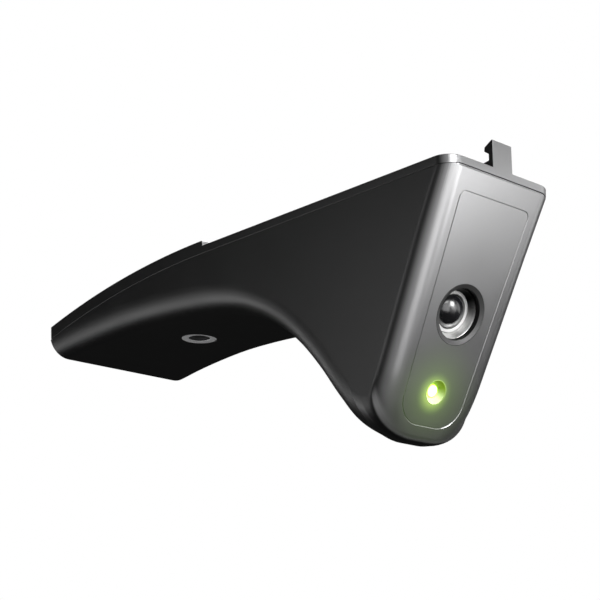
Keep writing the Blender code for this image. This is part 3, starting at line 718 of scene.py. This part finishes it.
def panel_outline(grow):
    """Corners of the inset panel in the face's own XY, widest at the top."""
    corners = []
    for down, side in ((PANEL_TOP, -1), (PANEL_TOP, 1), (PANEL_BOTTOM, 1), (PANEL_BOTTOM, -1)):
        x, z = face_point(down)
        across = half_width(x, z) - PANEL_MARGIN + grow
        corners.append((side * across, -down + (grow if down == PANEL_TOP else -grow)))
    top = PANEL_TOP_RADIUS + grow
    bottom = PANEL_BOTTOM_RADIUS + grow
    return rounded(corners, (top, top, bottom, bottom))


def cut_face_holes(target):
    for down, radius in ((LENS_DOWN, LENS_HOLE_RADIUS), (LIGHT_DOWN, LIGHT_HOLE_RADIUS)):
        combine(target, rods([(0, 0)], radius, -0.004, 0.004, 96), "DIFFERENCE", face_frame(down))


def cover_top(x):
    return -tail_drop(x) + (PAD_HEIGHT if x < STEP_X else 0.0)


# Materials ------------------------


class Net:
    """A short way to write the node tree of a new material or world."""

    def __init__(self, name, library=bpy.data.materials, shader="Principled BSDF"):
        self.owner = library.new(name)
        self.owner.use_nodes = True
        self.tree = self.owner.node_tree
        self.shader = self.tree.nodes[shader]

    def node(self, kind, **values):
        made = self.tree.nodes.new("ShaderNode" + kind)
        for key, value in values.items():
            setattr(made, key, value)
        return made

    def link(self, source, target):
        if isinstance(source, bpy.types.NodeSocket):
            self.tree.links.new(source, target)
        else:
            target.default_value = source

    def math(self, operation, *values):
        made = self.node("Math", operation=operation)
        for socket, value in zip(made.inputs, values):
            self.link(value, socket)
        return made.outputs[0]

    def times(self, a, b):
        return self.math("MULTIPLY", a, b)

    def plus(self, a, b):
        return self.math("ADD", a, b)

    def coords(self, output="Object"):
        return self.node("TexCoord").outputs[output]

    def split(self, vector):
        made = self.node("SeparateXYZ")
        self.link(vector, made.inputs[0])
        return made.outputs

    def noise(self, scale, detail=3.0):
        made = self.node("TexNoise")
        self.link(self.coords(), made.inputs["Vector"])
        made.inputs["Scale"].default_value = scale
        made.inputs["Detail"].default_value = detail
        made.inputs["Roughness"].default_value = 0.55
        return made.outputs["Fac"]

    def ramp(self, factor, low, high, to_low=0.0, to_high=1.0, smooth=True):
        made = self.node("MapRange", interpolation_type="SMOOTHSTEP" if smooth else "LINEAR")
        self.link(factor, made.inputs["Value"])
        ends = {"From Min": low, "From Max": high, "To Min": to_low, "To Max": to_high}
        for key, value in ends.items():
            made.inputs[key].default_value = value
        return made.outputs[0]

    def mix(self, factor, a, b):
        made = self.node("Mix", data_type="RGBA")
        self.link(factor, made.inputs[0])
        for socket, colour in ((made.inputs[6], a), (made.inputs[7], b)):
            self.link(colour if isinstance(colour, bpy.types.NodeSocket) else (*colour, 1.0), socket)
        return made.outputs[2]

    def bump(self, height, strength, distance):
        made = self.node("Bump")
        self.link(height, made.inputs["Height"])
        made.inputs["Strength"].default_value = strength
        made.inputs["Distance"].default_value = distance
        self.tree.links.new(made.outputs[0], self.shader.inputs["Normal"])

    def set(self, **values):
        for key, value in values.items():
            self.link(value, self.shader.inputs[key.replace("_", " ")])
        return self.owner


def shaded(colour, factor):
    return tuple(min(c * factor, 1.0) for c in colour)


def grained(name, colour, roughness, metallic=0.0, grain=3000.0, depth=0.00001):
    """One colour with fine grain, a little colour drift and uneven gloss."""
    net = Net(name)
    fine = net.noise(grain, 2.0)
    wide = net.noise(90.0, 4.0)
    net.bump(fine, 0.6, depth)
    return net.set(
        Base_Color=net.mix(wide, shaded(colour, 0.88), shaded(colour, 1.12)),
        Roughness=net.ramp(wide, 0.25, 0.75, roughness - 0.06, roughness + 0.06, False),
        Metallic=metallic,
    )


LIGHT_POINT = Vector((*face_point(LIGHT_DOWN), 0)).xzy
BLACK = (0.006, 0.006, 0.0062)
SILVER = (0.5, 0.5, 0.505)


def painted_status_glow(net):
    """Painted glow: yellow-green emission that stands in for the status light's light spilling over the
    face round it.
    """
    offset = net.node("VectorMath", operation="DISTANCE")
    net.link(net.coords(), offset.inputs[0])
    offset.inputs[1].default_value = LIGHT_POINT - Vector((0.0, 0.0009, 0.0006))
    away = offset.outputs["Value"]
    near = net.math("POWER", net.ramp(away, 0.0040, 0.0085, 1.0, 0.0, False), 2.0)
    wide = net.math("POWER", net.ramp(away, 0.0040, 0.0240, 1.0, 0.0, False), 2.0)
    colour = net.mix(near, (0.55, 1.0, 0.12), (0.68, 1.0, 0.16))
    strength = net.plus(net.times(near, 0.38), net.times(wide, 0.13))
    return colour, strength


def front_lit_painted_tone(name, painted_lit_area):
    """Satin black, turned metallic silver wherever the surface faces the front: painted light, the lit
    side of one dark material, with the status light's painted glow.
    """
    net = Net(name)
    normal = net.split(net.coords("Normal"))
    facing = normal[0]
    down = net.ramp(normal[2], -0.97, -0.72)
    # Painted light: surfaces that face the front and not steeply down are painted lit silver, the rest
    # stays satin black
    silver = painted_lit_area(net, net.times(net.ramp(facing, 0.26, 0.84), down))
    fine = net.noise(2600.0, 2.0)
    flake = net.noise(5200.0, 1.0)
    wide = net.noise(60.0, 4.0)
    black = net.mix(wide, shaded(BLACK, 0.85), shaded(BLACK, 1.2))
    metal = net.mix(flake, shaded(SILVER, 0.93), shaded(SILVER, 1.06))
    rough_black = net.ramp(wide, 0.25, 0.75, 0.36, 0.41, False)
    colour, strength = painted_status_glow(net)
    net.bump(fine, 0.5, 0.000008)
    # The end face of the raised pad is painted pale and hardly metallic, a painted highlight for its
    # brightly lit face
    pale = net.ramp(net.split(net.coords())[0], 0.0, 0.01, 0.85, 0.0)
    return net.set(
        Base_Color=net.mix(silver, black, net.mix(pale, metal, (0.95, 0.95, 0.95))),
        Metallic=net.times(silver, net.math("SUBTRACT", 0.95, pale)),
        Roughness=net.plus(rough_black, net.times(silver, -0.04)),
        Emission_Color=colour,
        Emission_Strength=net.times(strength, silver),
    )


def housing_painted_lit_front(net, facing):
    """Where the painted lit silver goes: wherever the surface faces the front, and all over the panel's
    recess.
    """
    x, y, z = net.split(net.coords())[:3]
    across = net.math("ABSOLUTE", y)
    lean = net.plus(net.times(x, PLAN_FLARE), net.times(z, -SIDE_DRAFT))
    inside = net.plus(across, lean)
    edge = FRONT_HALF_WIDTH + FRONT_X * PLAN_FLARE - PANEL_MARGIN + 0.0006
    middle = net.ramp(inside, edge, edge + 0.0002, 1.0, 0.0)
    out_x, out_z = cos(FACE_TILT), -sin(FACE_TILT)
    out = net.plus(net.times(x, out_x), net.times(z, out_z))
    plane = FRONT_X * out_x - RIM_HEIGHT * out_z
    shallow = net.ramp(out, plane - 0.0025, plane - 0.0020)
    down = net.plus(net.times(x, out_z), net.times(z, -out_x))
    start = FRONT_X * out_z + RIM_HEIGHT * out_x
    above = net.ramp(down, start + PANEL_BOTTOM + 0.0004, start + PANEL_BOTTOM + 0.0006, 1.0, 0.0)
    recess = net.times(middle, net.times(shallow, above))
    by_facing = net.times(facing, net.ramp(x, 0.0, 0.004))
    return net.math("MAXIMUM", by_facing, recess)


def cover_painted_lit_front(net, facing):
    """Where the painted lit silver goes: the rim's front, the hook's front and the end face of the
    raised pad, where they face the front.
    """
    x = net.split(net.coords())[0]
    rim = net.ramp(x, FRONT_X - EDGE_FACE - 0.0008, FRONT_X - EDGE_FACE, smooth=False)
    away = net.math("ABSOLUTE", net.math("SUBTRACT", x, STEP_X))
    step = net.ramp(away, 0.0003, 0.0005, 1.0, 0.0, False)
    return net.times(facing, net.math("MAXIMUM", rim, step))


def silver_panel(name):
    """The inset panel: metallic silver, the same lit silver that is painted on the housing's front,
    with the status light's painted glow on it.
    """
    net = Net(name)
    flake = net.noise(5200.0, 1.0)
    wide = net.noise(45.0, 4.0)
    colour, strength = painted_status_glow(net)
    net.bump(net.noise(2600.0, 2.0), 0.4, 0.000006)
    return net.set(
        Base_Color=net.mix(flake, shaded(SILVER, 0.95), shaded(SILVER, 1.05)),
        Metallic=0.95,
        Roughness=net.ramp(wide, 0.25, 0.75, 0.33, 0.37, False),
        Emission_Color=colour,
        Emission_Strength=strength,
    )


def lens_space(net):
    """Coordinates with Z along the lens's axis."""
    place = net.node("Mapping", vector_type="TEXTURE")
    where = face_frame(LENS_DOWN)
    place.inputs["Location"].default_value = where.to_translation()
    place.inputs["Rotation"].default_value = where.to_euler()
    net.link(net.coords(), place.inputs["Vector"])
    return place.outputs[0]


def spun_metal(name, colour, roughness, rings, metallic=1.0, shade=None):
    """Turned metal with fine concentric rings; shade gives a factor for painted shade, which mixes its
    colour towards black.
    """
    net = Net(name)
    wave = net.node("TexWave", wave_type="RINGS", rings_direction="Z")
    net.link(lens_space(net), wave.inputs["Vector"])
    wave.inputs["Scale"].default_value = rings
    wave.inputs["Distortion"].default_value = 0.4
    fac = wave.outputs["Fac"]
    net.bump(fac, 0.25, 0.00001)
    base = net.mix(fac, shaded(colour, 0.93), colour)
    # Painted shade: the colour goes towards black where the shade factor is low
    if shade is not None:
        base = net.mix(shade(net), (0.004, 0.004, 0.004), base)
    return net.set(
        Base_Color=base,
        Roughness=net.ramp(fac, 0.0, 1.0, roughness, roughness + 0.05, False),
        Metallic=metallic,
    )


def printed_mark():
    """Pale print with a faint painted glow, so that it stays readable on the dark underside."""
    net = Net("mark_grey")
    net.bump(net.noise(2600.0, 2.0), 0.4, 0.000006)
    base = net.mix(net.noise(90.0, 4.0), (0.82, 0.82, 0.83), (0.88, 0.88, 0.89))
    return net.set(Base_Color=base, Roughness=0.5, Emission_Color=base, Emission_Strength=0.07)


def outer_lip(net):
    """The bezel's chamfer; the bore inside it is painted black, a painted shade for the shadowed bore.
    """
    x, y, _ = net.split(lens_space(net))[:3]
    radius = net.math("SQRT", net.plus(net.math("POWER", x, 2.0), net.math("POWER", y, 2.0)))
    return net.ramp(radius, 0.00925, 0.00935)


def painted_shade_facing_down(net):
    """Painted shade: a deep reflector is painted dark where it faces down, standing in for the shadow
    in the bore.
    """
    return net.ramp(net.split(net.coords("Normal"))[2], -0.80, 0.05, 0.0, 1.0)


def coated_glass():
    """Dark coated lens glass, painted a little lighter where it turns away: a painted sheen."""
    net = Net("coated_glass")
    edge = net.node("LayerWeight").outputs["Facing"]
    return net.set(
        IOR=2.0,
        Base_Color=net.mix(edge, (0.004, 0.004, 0.005), (0.015, 0.015, 0.018)),
        Roughness=net.ramp(net.noise(120.0), 0.2, 0.8, 0.20, 0.22, False),
    )


def lit_lens(name, centre_strength, edge_strength):
    """White hot in the middle, yellow green towards the rim."""
    net = Net(name)
    offset = net.node("VectorMath", operation="DISTANCE")
    net.link(net.coords(), offset.inputs[0])
    offset.inputs[1].default_value = LIGHT_POINT
    away = net.plus(offset.outputs["Value"], net.times(net.noise(900.0), 0.0003))
    fade = net.ramp(away, 0.0020, 0.0034)
    hot = net.math("SUBTRACT", 1.0, fade)
    return net.set(
        Base_Color=net.mix(fade, (0.9, 0.95, 0.75), (0.45, 0.65, 0.12)),
        Roughness=0.25,
        Emission_Color=net.mix(fade, (1.0, 1.0, 0.90), (0.55, 0.95, 0.08)),
        Emission_Strength=net.plus(edge_strength, net.times(hot, centre_strength)),
    )


def cup_painted_glow():
    """The reflector cup: painted glow, green, brighter low down where it faces up, standing in for the
    status light's light on its wall.
    """
    net = Net("light_cup_glow")
    facing = net.split(net.coords("Normal"))[2]
    up = net.ramp(facing, -0.75, 0.55)
    grain = net.ramp(net.noise(700.0), 0.3, 0.7, 0.85, 1.0)
    return net.set(
        Base_Color=net.mix(up, (0.20, 0.30, 0.03), (0.75, 0.85, 0.55)),
        Roughness=0.3,
        Emission_Color=net.mix(up, (0.16, 0.30, 0.005), (0.62, 0.80, 0.28)),
        Emission_Strength=net.times(net.ramp(up, 0.0, 1.0, 0.35, 0.75), grain),
    )


def board_look():
    """Solder mask over copper, with tracks and pads just showing through."""
    net = Net("board_green")
    brick = net.node("TexBrick")
    net.link(net.coords(), brick.inputs["Vector"])
    brick.inputs["Scale"].default_value = 420.0
    brick.inputs["Mortar Size"].default_value = 0.03
    tracks = net.times(brick.outputs["Fac"], 0.5)
    shade = net.plus(tracks, net.times(net.noise(300.0), 0.3))
    net.bump(brick.outputs["Fac"], 0.3, 0.00003)
    return net.set(
        Base_Color=net.mix(shade, (0.012, 0.085, 0.03), (0.05, 0.2, 0.07)),
        Roughness=0.38,
    )


def ribbon_look():
    """Polyimide film with copper conductors along it."""
    net = Net("ribbon_film")
    wave = net.node("TexWave", wave_type="BANDS", bands_direction="Y")
    net.link(net.coords(), wave.inputs["Vector"])
    wave.inputs["Scale"].default_value = 160.0
    lines = net.ramp(wave.outputs["Fac"], 0.45, 0.6)
    net.bump(lines, 0.3, 0.00003)
    return net.set(Base_Color=net.mix(lines, (0.42, 0.17, 0.02), (0.62, 0.32, 0.10)), Roughness=0.35)


# Slot: colour, roughness, metallic, scale and depth of the grain
GRAINED = {
    "gasket_rubber": ((0.012, 0.012, 0.012), 0.75, 0.0, 1800.0),
    "black_plastic": ((0.015, 0.015, 0.015), 0.5),
    "chip_black": ((0.02, 0.02, 0.022), 0.55, 0.0, 5000.0),
    "tin_plate": ((0.6, 0.6, 0.58), 0.34, 1.0, 700.0),
    "aluminium_plate": ((0.7, 0.7, 0.7), 0.36, 1.0, 1500.0),
    "battery_wrap": ((0.03, 0.08, 0.24), 0.42, 0.0, 400.0, 0.00004),
    "connector_white": ((0.72, 0.70, 0.64), 0.5),
    "wire_jacket": ((0.35, 0.02, 0.02), 0.5),
    "steel_shell": ((0.56, 0.56, 0.56), 0.30, 1.0, 900.0),
    "button_black": ((0.02, 0.02, 0.021), 0.42, 0.0, 2600.0),
    "spring_steel": ((0.5, 0.5, 0.5), 0.3, 1.0),
    "screw_steel": ((0.10, 0.10, 0.105), 0.36, 0.9, 1600.0, 0.00002),
}
looks = {slot: grained(slot, *values) for slot, values in GRAINED.items()}
looks |= {
    "housing_satin": front_lit_painted_tone("housing_satin", housing_painted_lit_front),
    "cover_satin": front_lit_painted_tone("cover_satin", cover_painted_lit_front),
    "panel_silver": silver_panel("panel_silver"),
    "bezel_grey": spun_metal("bezel_grey", (0.11, 0.11, 0.11), 0.45, 900.0, 0.7, outer_lip),
    "bright_ring": spun_metal("bright_ring", (0.92, 0.92, 0.91), 0.36, 700.0, 1.0, painted_shade_facing_down),
    "barrel_grey": spun_metal("barrel_grey", (0.85, 0.85, 0.84), 0.45, 800.0, 0.3),
    "lens_glass": coated_glass(),
    "circuit_board": board_look(),
    "led_green": lit_lens("led_green", 4.0, 1.5),
    "light_window": cup_painted_glow(),
    "ribbon_film": ribbon_look(),
    "mark_grey": printed_mark(),
}

for item in frame["record"]["subparts"]:
    mesh = nodes[item["node"]].data
    mesh.materials.clear()
    mesh.materials.append(looks[item["material_slot"]])


# Housing and lid ------------------------


def build_housing():
    housing = raw("housing_shell", envelope())
    combine(housing, envelope(WALL, 2, 6), "DIFFERENCE")
    for spots, radius, low, high in (
        (COVER_SPOTS, BOSS_RADIUS, -0.0185, 0.002),
        (TRAY_SPOTS, POST_RADIUS, -0.0260, -0.0194),
    ):
        posts = raw("posts", rods(spots, radius, low, high, 24))
        combine(posts, envelope(WALL / 3, 2, 6), "INTERSECT")
        settle(posts)
        combine(housing, posts, "UNION")
    combine(housing, band(-RIM_HEIGHT - HAIRLINE / 2, 0.03, 56), "DIFFERENCE")
    combine(housing, groove_cutter(), "DIFFERENCE")

    for down, spots, reach, radius, hole in (
        (LENS_DOWN, CAMERA_SPOTS, 0.0192, POST_RADIUS, 0.007),
        (RADAR_DOWN, RADAR_SPOTS, 0.0038, 0.0020, 0.0016),
        (LIGHT_DOWN, STATUS_SPOTS, 0.0061, 0.0020, 0.0039),
    ):
        where = face_frame(down)
        combine(housing, rods(spots, radius, -reach, -WALL / 2, 24), "UNION", where)
        drill = rods(spots, SCREW_HOLE_RADIUS, -reach - 0.001, -reach + hole, 20)
        combine(housing, drill, "DIFFERENCE", where)

    levels = (
        (-PANEL_THICKNESS - PANEL_GAP, HAIRLINE / 2),
        (-PANEL_GROOVE_DEPTH, HAIRLINE / 2),
        (-PANEL_GROOVE_DEPTH, PANEL_GROOVE_WIDTH / 2),
        (-PANEL_GROOVE_EASE * 0.7, PANEL_GROOVE_WIDTH / 2),
        (0.0, PANEL_GROOVE_WIDTH / 2 + PANEL_GROOVE_EASE),
        (0.003, PANEL_GROOVE_WIDTH / 2 + PANEL_GROOVE_EASE),
    )
    combine(housing, plate(levels, panel_outline), "DIFFERENCE", face_frame(0))
    cut_face_holes(housing)
    for width, across in ((SOCKET_WIDTH, 0), (BUTTON_WIDTH, BUTTON_Y)):
        mouth = ((-0.002, 0.0020), (0.0, 0.00022), (0.00022, 0.0), (0.006, 0.0))
        opening = plate(mouth, pill(width + PORT_GAP, PORT_HEIGHT))
        combine(housing, opening, "DIFFERENCE", tail_frame(TAIL_X, across))
    mark_seat = rods([(MARK_X, 0)], MARK_RADIUS + 0.00012, -0.03, MARK_Z + 0.0007, 96)
    combine(housing, mark_seat, "DIFFERENCE")
    combine(housing, rods(COVER_SPOTS, SCREW_HOLE_RADIUS, -0.0150, 0.002, 20), "DIFFERENCE")
    combine(housing, rods(TRAY_SPOTS, SCREW_HOLE_RADIUS, -0.0228, -0.018, 20), "DIFFERENCE")
    finish_piece(housing, "housing_satin", ["lower_housing"])


def hook_outline():
    # A hair behind the rim's front, so that no two faces of the union coincide
    front = FRONT_X - 0.000002
    stem = front - HOOK_STEM
    tip = front - HOOK_REACH
    heel = front - HOOK_FOOT_LENGTH
    return (
        (front, -0.0018),
        (front, HOOK_HEIGHT),
        (front - 0.0006, HOOK_HEIGHT),
        (tip + 0.0002, HOOK_TIP_TOP),
        (tip, HOOK_TIP_BOTTOM + 0.0004),
        (tip + 0.0003, HOOK_TIP_BOTTOM),
        (stem, HOOK_CATCH),
        (stem, HOOK_FOOT_HEIGHT + 0.0002),
        (heel, HOOK_FOOT_HEIGHT - 0.0004),
        (heel, -0.0018),
    )


def build_cover():
    cover = raw("cover_shell", lid_solid())
    hollow = raw("hollow", envelope(WALL, 2, 6))
    combine(hollow, band(-0.05, -COVER_THICKNESS), "INTERSECT")
    settle(hollow)
    combine(cover, hollow, "DIFFERENCE")

    inside_top = -0.0010
    rings = raw("rings", rods(COVER_SPOTS, BOSS_RADIUS, -0.020, inside_top + 0.0002))
    combine(rings, band(-RIM_HEIGHT + SEAM_GAP / 2, inside_top), "INTERSECT")
    settle(rings)
    combine(cover, rings, "UNION")
    combine(cover, rods(BOARD_SPOTS, POST_RADIUS, -0.0076, inside_top), "UNION")

    hook = raw("hook", prism(hook_outline(), HOOK_WIDTH))
    soften(hook, 0.00018, 3, 25)
    settle(hook)
    combine(cover, hook, "UNION")

    combine(cover, rods(COVER_SPOTS, SCREW_HOLE_RADIUS, -0.025, 0.006), "DIFFERENCE")
    for x, y in COVER_SPOTS:
        bore = (
            (0, -COUNTERBORE_DEPTH),
            (COUNTERBORE_RADIUS, -COUNTERBORE_DEPTH),
            (COUNTERBORE_RADIUS, -0.0003),
            (COUNTERBORE_RADIUS + 0.0015, 0.0012),
            (0, 0.0012),
        )
        combine(cover, lathe(bore, 64), "DIFFERENCE", at(x, y, cover_top(x)))
    combine(cover, rods(BOARD_SPOTS, SCREW_HOLE_RADIUS, -0.009, -0.0030, 20), "DIFFERENCE")
    finish_piece(cover, "cover_satin", ["top_cover"])


def build_panel():
    levels = (
        (-PANEL_THICKNESS, -HAIRLINE / 2),
        (-PANEL_GROOVE_DEPTH, -HAIRLINE / 2),
        (-PANEL_GROOVE_DEPTH, -PANEL_GROOVE_WIDTH / 2),
        (0.003, -PANEL_GROOVE_WIDTH / 2),
    )
    panel = raw("panel_plate", plate(levels, panel_outline), face_frame(0))
    combine(panel, envelope(0.00001), "INTERSECT")
    cut_face_holes(panel)
    finish_piece(panel, "panel_silver", ["front_panel"])


# Lens and status light ------------------------


def turned(name, profile, slot, replaced=(), down=LENS_DOWN, steps=128):
    """A round piece on an axis square to the face."""
    piece = raw(name, lathe(profile, steps), face_frame(down))
    finish_piece(piece, slot, replaced, sharp=50)


def build_lens():
    bezel = (
        (0.01092, 0.0),
        (0.01092, -0.0062),
        (0.0092, -0.0062),
        (0.0092, -0.00065),
        (0.01080, 0.0),
    )
    turned("lens_bezel_ring", eased(bezel, 0.00008), "bezel_grey", ["lens_bezel"])
    flare = (
        (0.00905, -0.0024),
        (0.00905, -0.0058),
        (0.0077, -0.0058),
        (0.0077, -0.0050),
        (0.0089, -0.0025),
    )
    turned("lens_flare_ring", eased(flare, 0.00006), "bright_ring", ["lens_reflector_ring"])
    barrel = (
        (0.0075, -0.0049),
        (0.0075, -0.0078),
        (0.0060, -0.0084),
        (0.0060, -0.0170),
        (0.0040, -0.0170),
        (0.0040, -0.0080),
        (0.00625, -0.0080),
        (0.00625, -0.0051),
        (0.0064, -0.0049),
    )
    turned("lens_barrel_flange", eased(barrel, 0.00012), "barrel_grey", ["lens_barrel"])

    radius, rim, edge_z = 0.0078, 0.0061, -0.0054
    centre_z = edge_z - sqrt(radius**2 - rim**2)
    glass = dome(radius, radius, centre_z, -0.0076, atan2(rim, edge_z - centre_z))
    turned("lens_dome", glass, "lens_glass", ["lens_front_glass"])


def build_light():
    cup = (
        (0.00440, -0.00010),
        (0.00440, -0.0041),
        (0.0030, -0.0041),
        (0.0026, -0.0021),
        (0.00425, -0.00012),
    )
    turned("light_cup", eased(cup, 0.00006), "light_window", ["status_light_window"], LIGHT_DOWN)
    cap = dome(0.00252, 0.0011, -0.0027, -0.0040, steps=12)
    turned("light_dome", cap, "led_green", down=LIGHT_DOWN, steps=96)


# Tail end, screws and mark ------------------------


def build_tail():
    where = tail_frame(TAIL_X, 0)
    outer = ((0.0005, -0.00012), (0.00062, 0.0), (0.0097, 0.0))
    shell = raw("usb_shell", plate(outer, pill(SOCKET_WIDTH, SOCKET_HEIGHT)), where)
    mouth = ((-0.0013, -SOCKET_WALL), (0.0077, -SOCKET_WALL))
    combine(shell, plate(mouth, pill(SOCKET_WIDTH, SOCKET_HEIGHT)), "DIFFERENCE", where)
    finish_piece(shell, "steel_shell", ["usb_socket"])

    tongue = raw("usb_tongue", block((0.0066, 0.0066, 0.0007), (TAIL_X + 0.0047, 0, PORT_Z)))
    soften(tongue, 0.00012, 2)
    finish_piece(tongue, "black_plastic")

    where = tail_frame(BUTTON_SEAT_X, BUTTON_Y)
    face = TAIL_X - BUTTON_SEAT_X
    edge = 0.0004
    rise = [(face + edge * (1 - sin(a)), -edge * (1 - cos(a))) for a in (pi / 2, pi / 3, pi / 6, 0)]
    button = raw("button_cap", plate((*rise, (0.0003, 0.0)), pill(BUTTON_WIDTH, BUTTON_HEIGHT)), where)
    flange = plate(((0.0002, 0.0), (0.00094, 0.0)), pill(BUTTON_WIDTH + 0.002, 0.0042))
    combine(button, flange, "UNION", where)
    combine(button, rods([(0, 0)], 0.0008, 0.0005, 0.0036), "UNION", where)
    dish = (
        (0, face - 0.001),
        (0.0011, face - 0.001),
        (0.0008, face + 0.00018),
        (0, face + 0.00025),
    )
    combine(button, lathe(dish, 48), "DIFFERENCE", where)
    finish_piece(button, "button_black", ["power_button"], "button")


def build_spring():
    """The coil behind the button, given a mesh of its own."""
    rings = []
    ahead = Vector((1, 0, 0))
    start = Vector((SPRING_START_X, BUTTON_Y, PORT_Z))
    count = int(SPRING_TURNS * 24)
    for k in range(count + 1):
        turn = 2 * pi * SPRING_TURNS * k / count
        out = Vector((0, cos(turn), sin(turn)))
        centre = start + ahead * SPRING_LENGTH * k / count + out * SPRING_RADIUS
        angles = [2 * pi * step / 10 for step in range(10)]
        rings.append([centre + (out * cos(a) + ahead * sin(a)) * SPRING_WIRE_RADIUS for a in angles])
    coil = raw("button_coil", loft(rings))
    finish_piece(coil, "spring_steel", ["button_spring"])
    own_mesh(coil)


def build_screws():
    head = (
        (0, SCREW_HEAD_HEIGHT),
        (SCREW_HEAD_RADIUS, SCREW_HEAD_HEIGHT),
        (SCREW_HEAD_RADIUS, 0),
        (SCREW_SHANK_RADIUS, 0),
        (SCREW_SHANK_RADIUS, -0.0095),
        (0, -0.0095),
    )
    recess = ((0, 0.0003), (0.00072, 0.00045), (0.00072, 0.0014), (0, 0.0014))
    for number, (x, y) in enumerate(COVER_SPOTS, 1):
        where = at(x, y, cover_top(x) - COUNTERBORE_DEPTH)
        screw = raw(f"cover_screw_{number}_head", lathe(eased(head, 0.0003, False), 48), where)
        combine(screw, lathe(recess, 6), "DIFFERENCE", where)
        finish_piece(screw, "screw_steel", [f"cover_screw_{number}"])


def build_mark():
    ring = (
        (MARK_RADIUS, 0.0),
        (MARK_RADIUS, MARK_THICKNESS),
        (MARK_HOLE_RADIUS, MARK_THICKNESS),
        (MARK_HOLE_RADIUS, 0.0),
    )
    mark = raw("mark_ring", lathe(eased(ring, 0.00008), 128), at(MARK_X, 0, MARK_Z))
    finish_piece(mark, "mark_grey", ["underside_mark"])


build_housing()
build_cover()
build_panel()
build_lens()
build_light()
build_tail()
build_spring()
build_screws()
build_mark()


# Camera, lights and floor ------------------------

scene = bpy.context.scene
scene.view_settings.view_transform = "Standard"
scene.view_settings.look = "None"

camera = bpy.data.objects.new("camera", bpy.data.cameras.new("camera"))
RAW.objects.link(camera)
camera.data.lens = 84.752
camera.data.sensor_width = 36.0
camera.data.clip_start = 0.01
camera.data.clip_end = 20.0
right = Vector((0.64438, 0.76469, 0.0039))
up = Vector((0.23087, -0.1994, 0.95233))
back = Vector((0.72902, -0.61277, -0.30504))
turn = Matrix((right, up, back)).transposed()
camera.matrix_world = at(0.36262, -0.34173, -0.19072) @ turn.to_4x4()
scene.camera = camera

BODY = Vector((0.01, 0.0, -0.035))
HEAD = Vector((0.055, 0.0, -0.02))
SIDE = Vector((0.03, -0.03, -0.03))

# Name, aim, azimuth and elevation in degrees, distance, size, power
LIGHTS = (
    ("key", HEAD, 12, 3, 0.20, 0.10, 0.125),
    ("spark", HEAD, 12, 3, 0.18, 0.055, 0.12),
    ("key_left", HEAD, -25, 18, 0.20, 0.10, 0.152),
    ("key_right", HEAD, 28, -10, 0.20, 0.10, 0.048),
    ("key_low", HEAD, 28, -22, 0.20, 0.10, 0.013),
    ("front_low", HEAD, 5, -15, 0.50, 0.34, 0.11),
    ("front_left", HEAD, -20, -15, 0.50, 0.34, 0.612),
    ("front_right", HEAD, 60, 8, 0.50, 0.34, 0.41),
    ("front_side", HEAD, -62, -8, 0.50, 0.34, 0.19),
    ("side_low", SIDE, -140, -20, 0.35, 0.16, 0.152),
    ("side", BODY, -115, 5, 0.75, 0.22, 0.554),
    ("edge", BODY, -160, -20, 0.75, 0.22, 0.47),
    ("tail", BODY, -175, 5, 0.75, 0.22, 0.314),
    ("overhead", BODY, 90, 85, 1.0, 0.8, 4.0),
    ("back_fill", BODY, 125, 50, 1.0, 0.9, 10.0),
)


def softbox(name, aim, azimuth, elevation, distance, size, watts):
    """A soft light facing its aim, not seen by the camera."""
    data = bpy.data.lights.new(name, "AREA")
    data.shape = "SQUARE"
    data.size = size
    data.energy = watts
    flat = cos(radians(elevation))
    away = Vector((flat * cos(radians(azimuth)), flat * sin(radians(azimuth)), sin(radians(elevation))))
    lamp = bpy.data.objects.new(name, data)
    lamp.location = aim + away * distance
    lamp.rotation_euler = (-away).to_track_quat("-Z", "Y").to_euler()
    lamp.visible_camera = False
    RAW.objects.link(lamp)


for light in LIGHTS:
    softbox(*light)

sky = Net("studio", bpy.data.worlds, "Background")
scene.world = sky.owner
upward = sky.split(sky.coords("Generated"))[2]
low_glow = sky.ramp(upward, -0.4, 0.2, 0.0342, 0.0, False)
seen = sky.node("LightPath").outputs["Is Camera Ray"]
sky.set(Color=(1, 1, 1, 1), Strength=sky.math("MAXIMUM", low_glow, seen))

pale = Net("pale_floor")
pale.set(
    Base_Color=(0.02, 0.02, 0.02, 1),
    Roughness=0.8,
    Specular_IOR_Level=0.0,
    Emission_Color=pale.mix(pale.noise(3.0), (0.80, 0.80, 0.80), (0.84, 0.84, 0.84)),
    Emission_Strength=0.85,
)
pale.owner.cycles.emission_sampling = "NONE"
grid = bmesh.new()
bmesh.ops.create_grid(grid, x_segments=8, y_segments=8, size=9.0)
floor = raw("floor", grid, at(0, 0, -0.26))
floor.data.materials.append(pale.owner)
floor.visible_glossy = False
floor.visible_diffuse = False
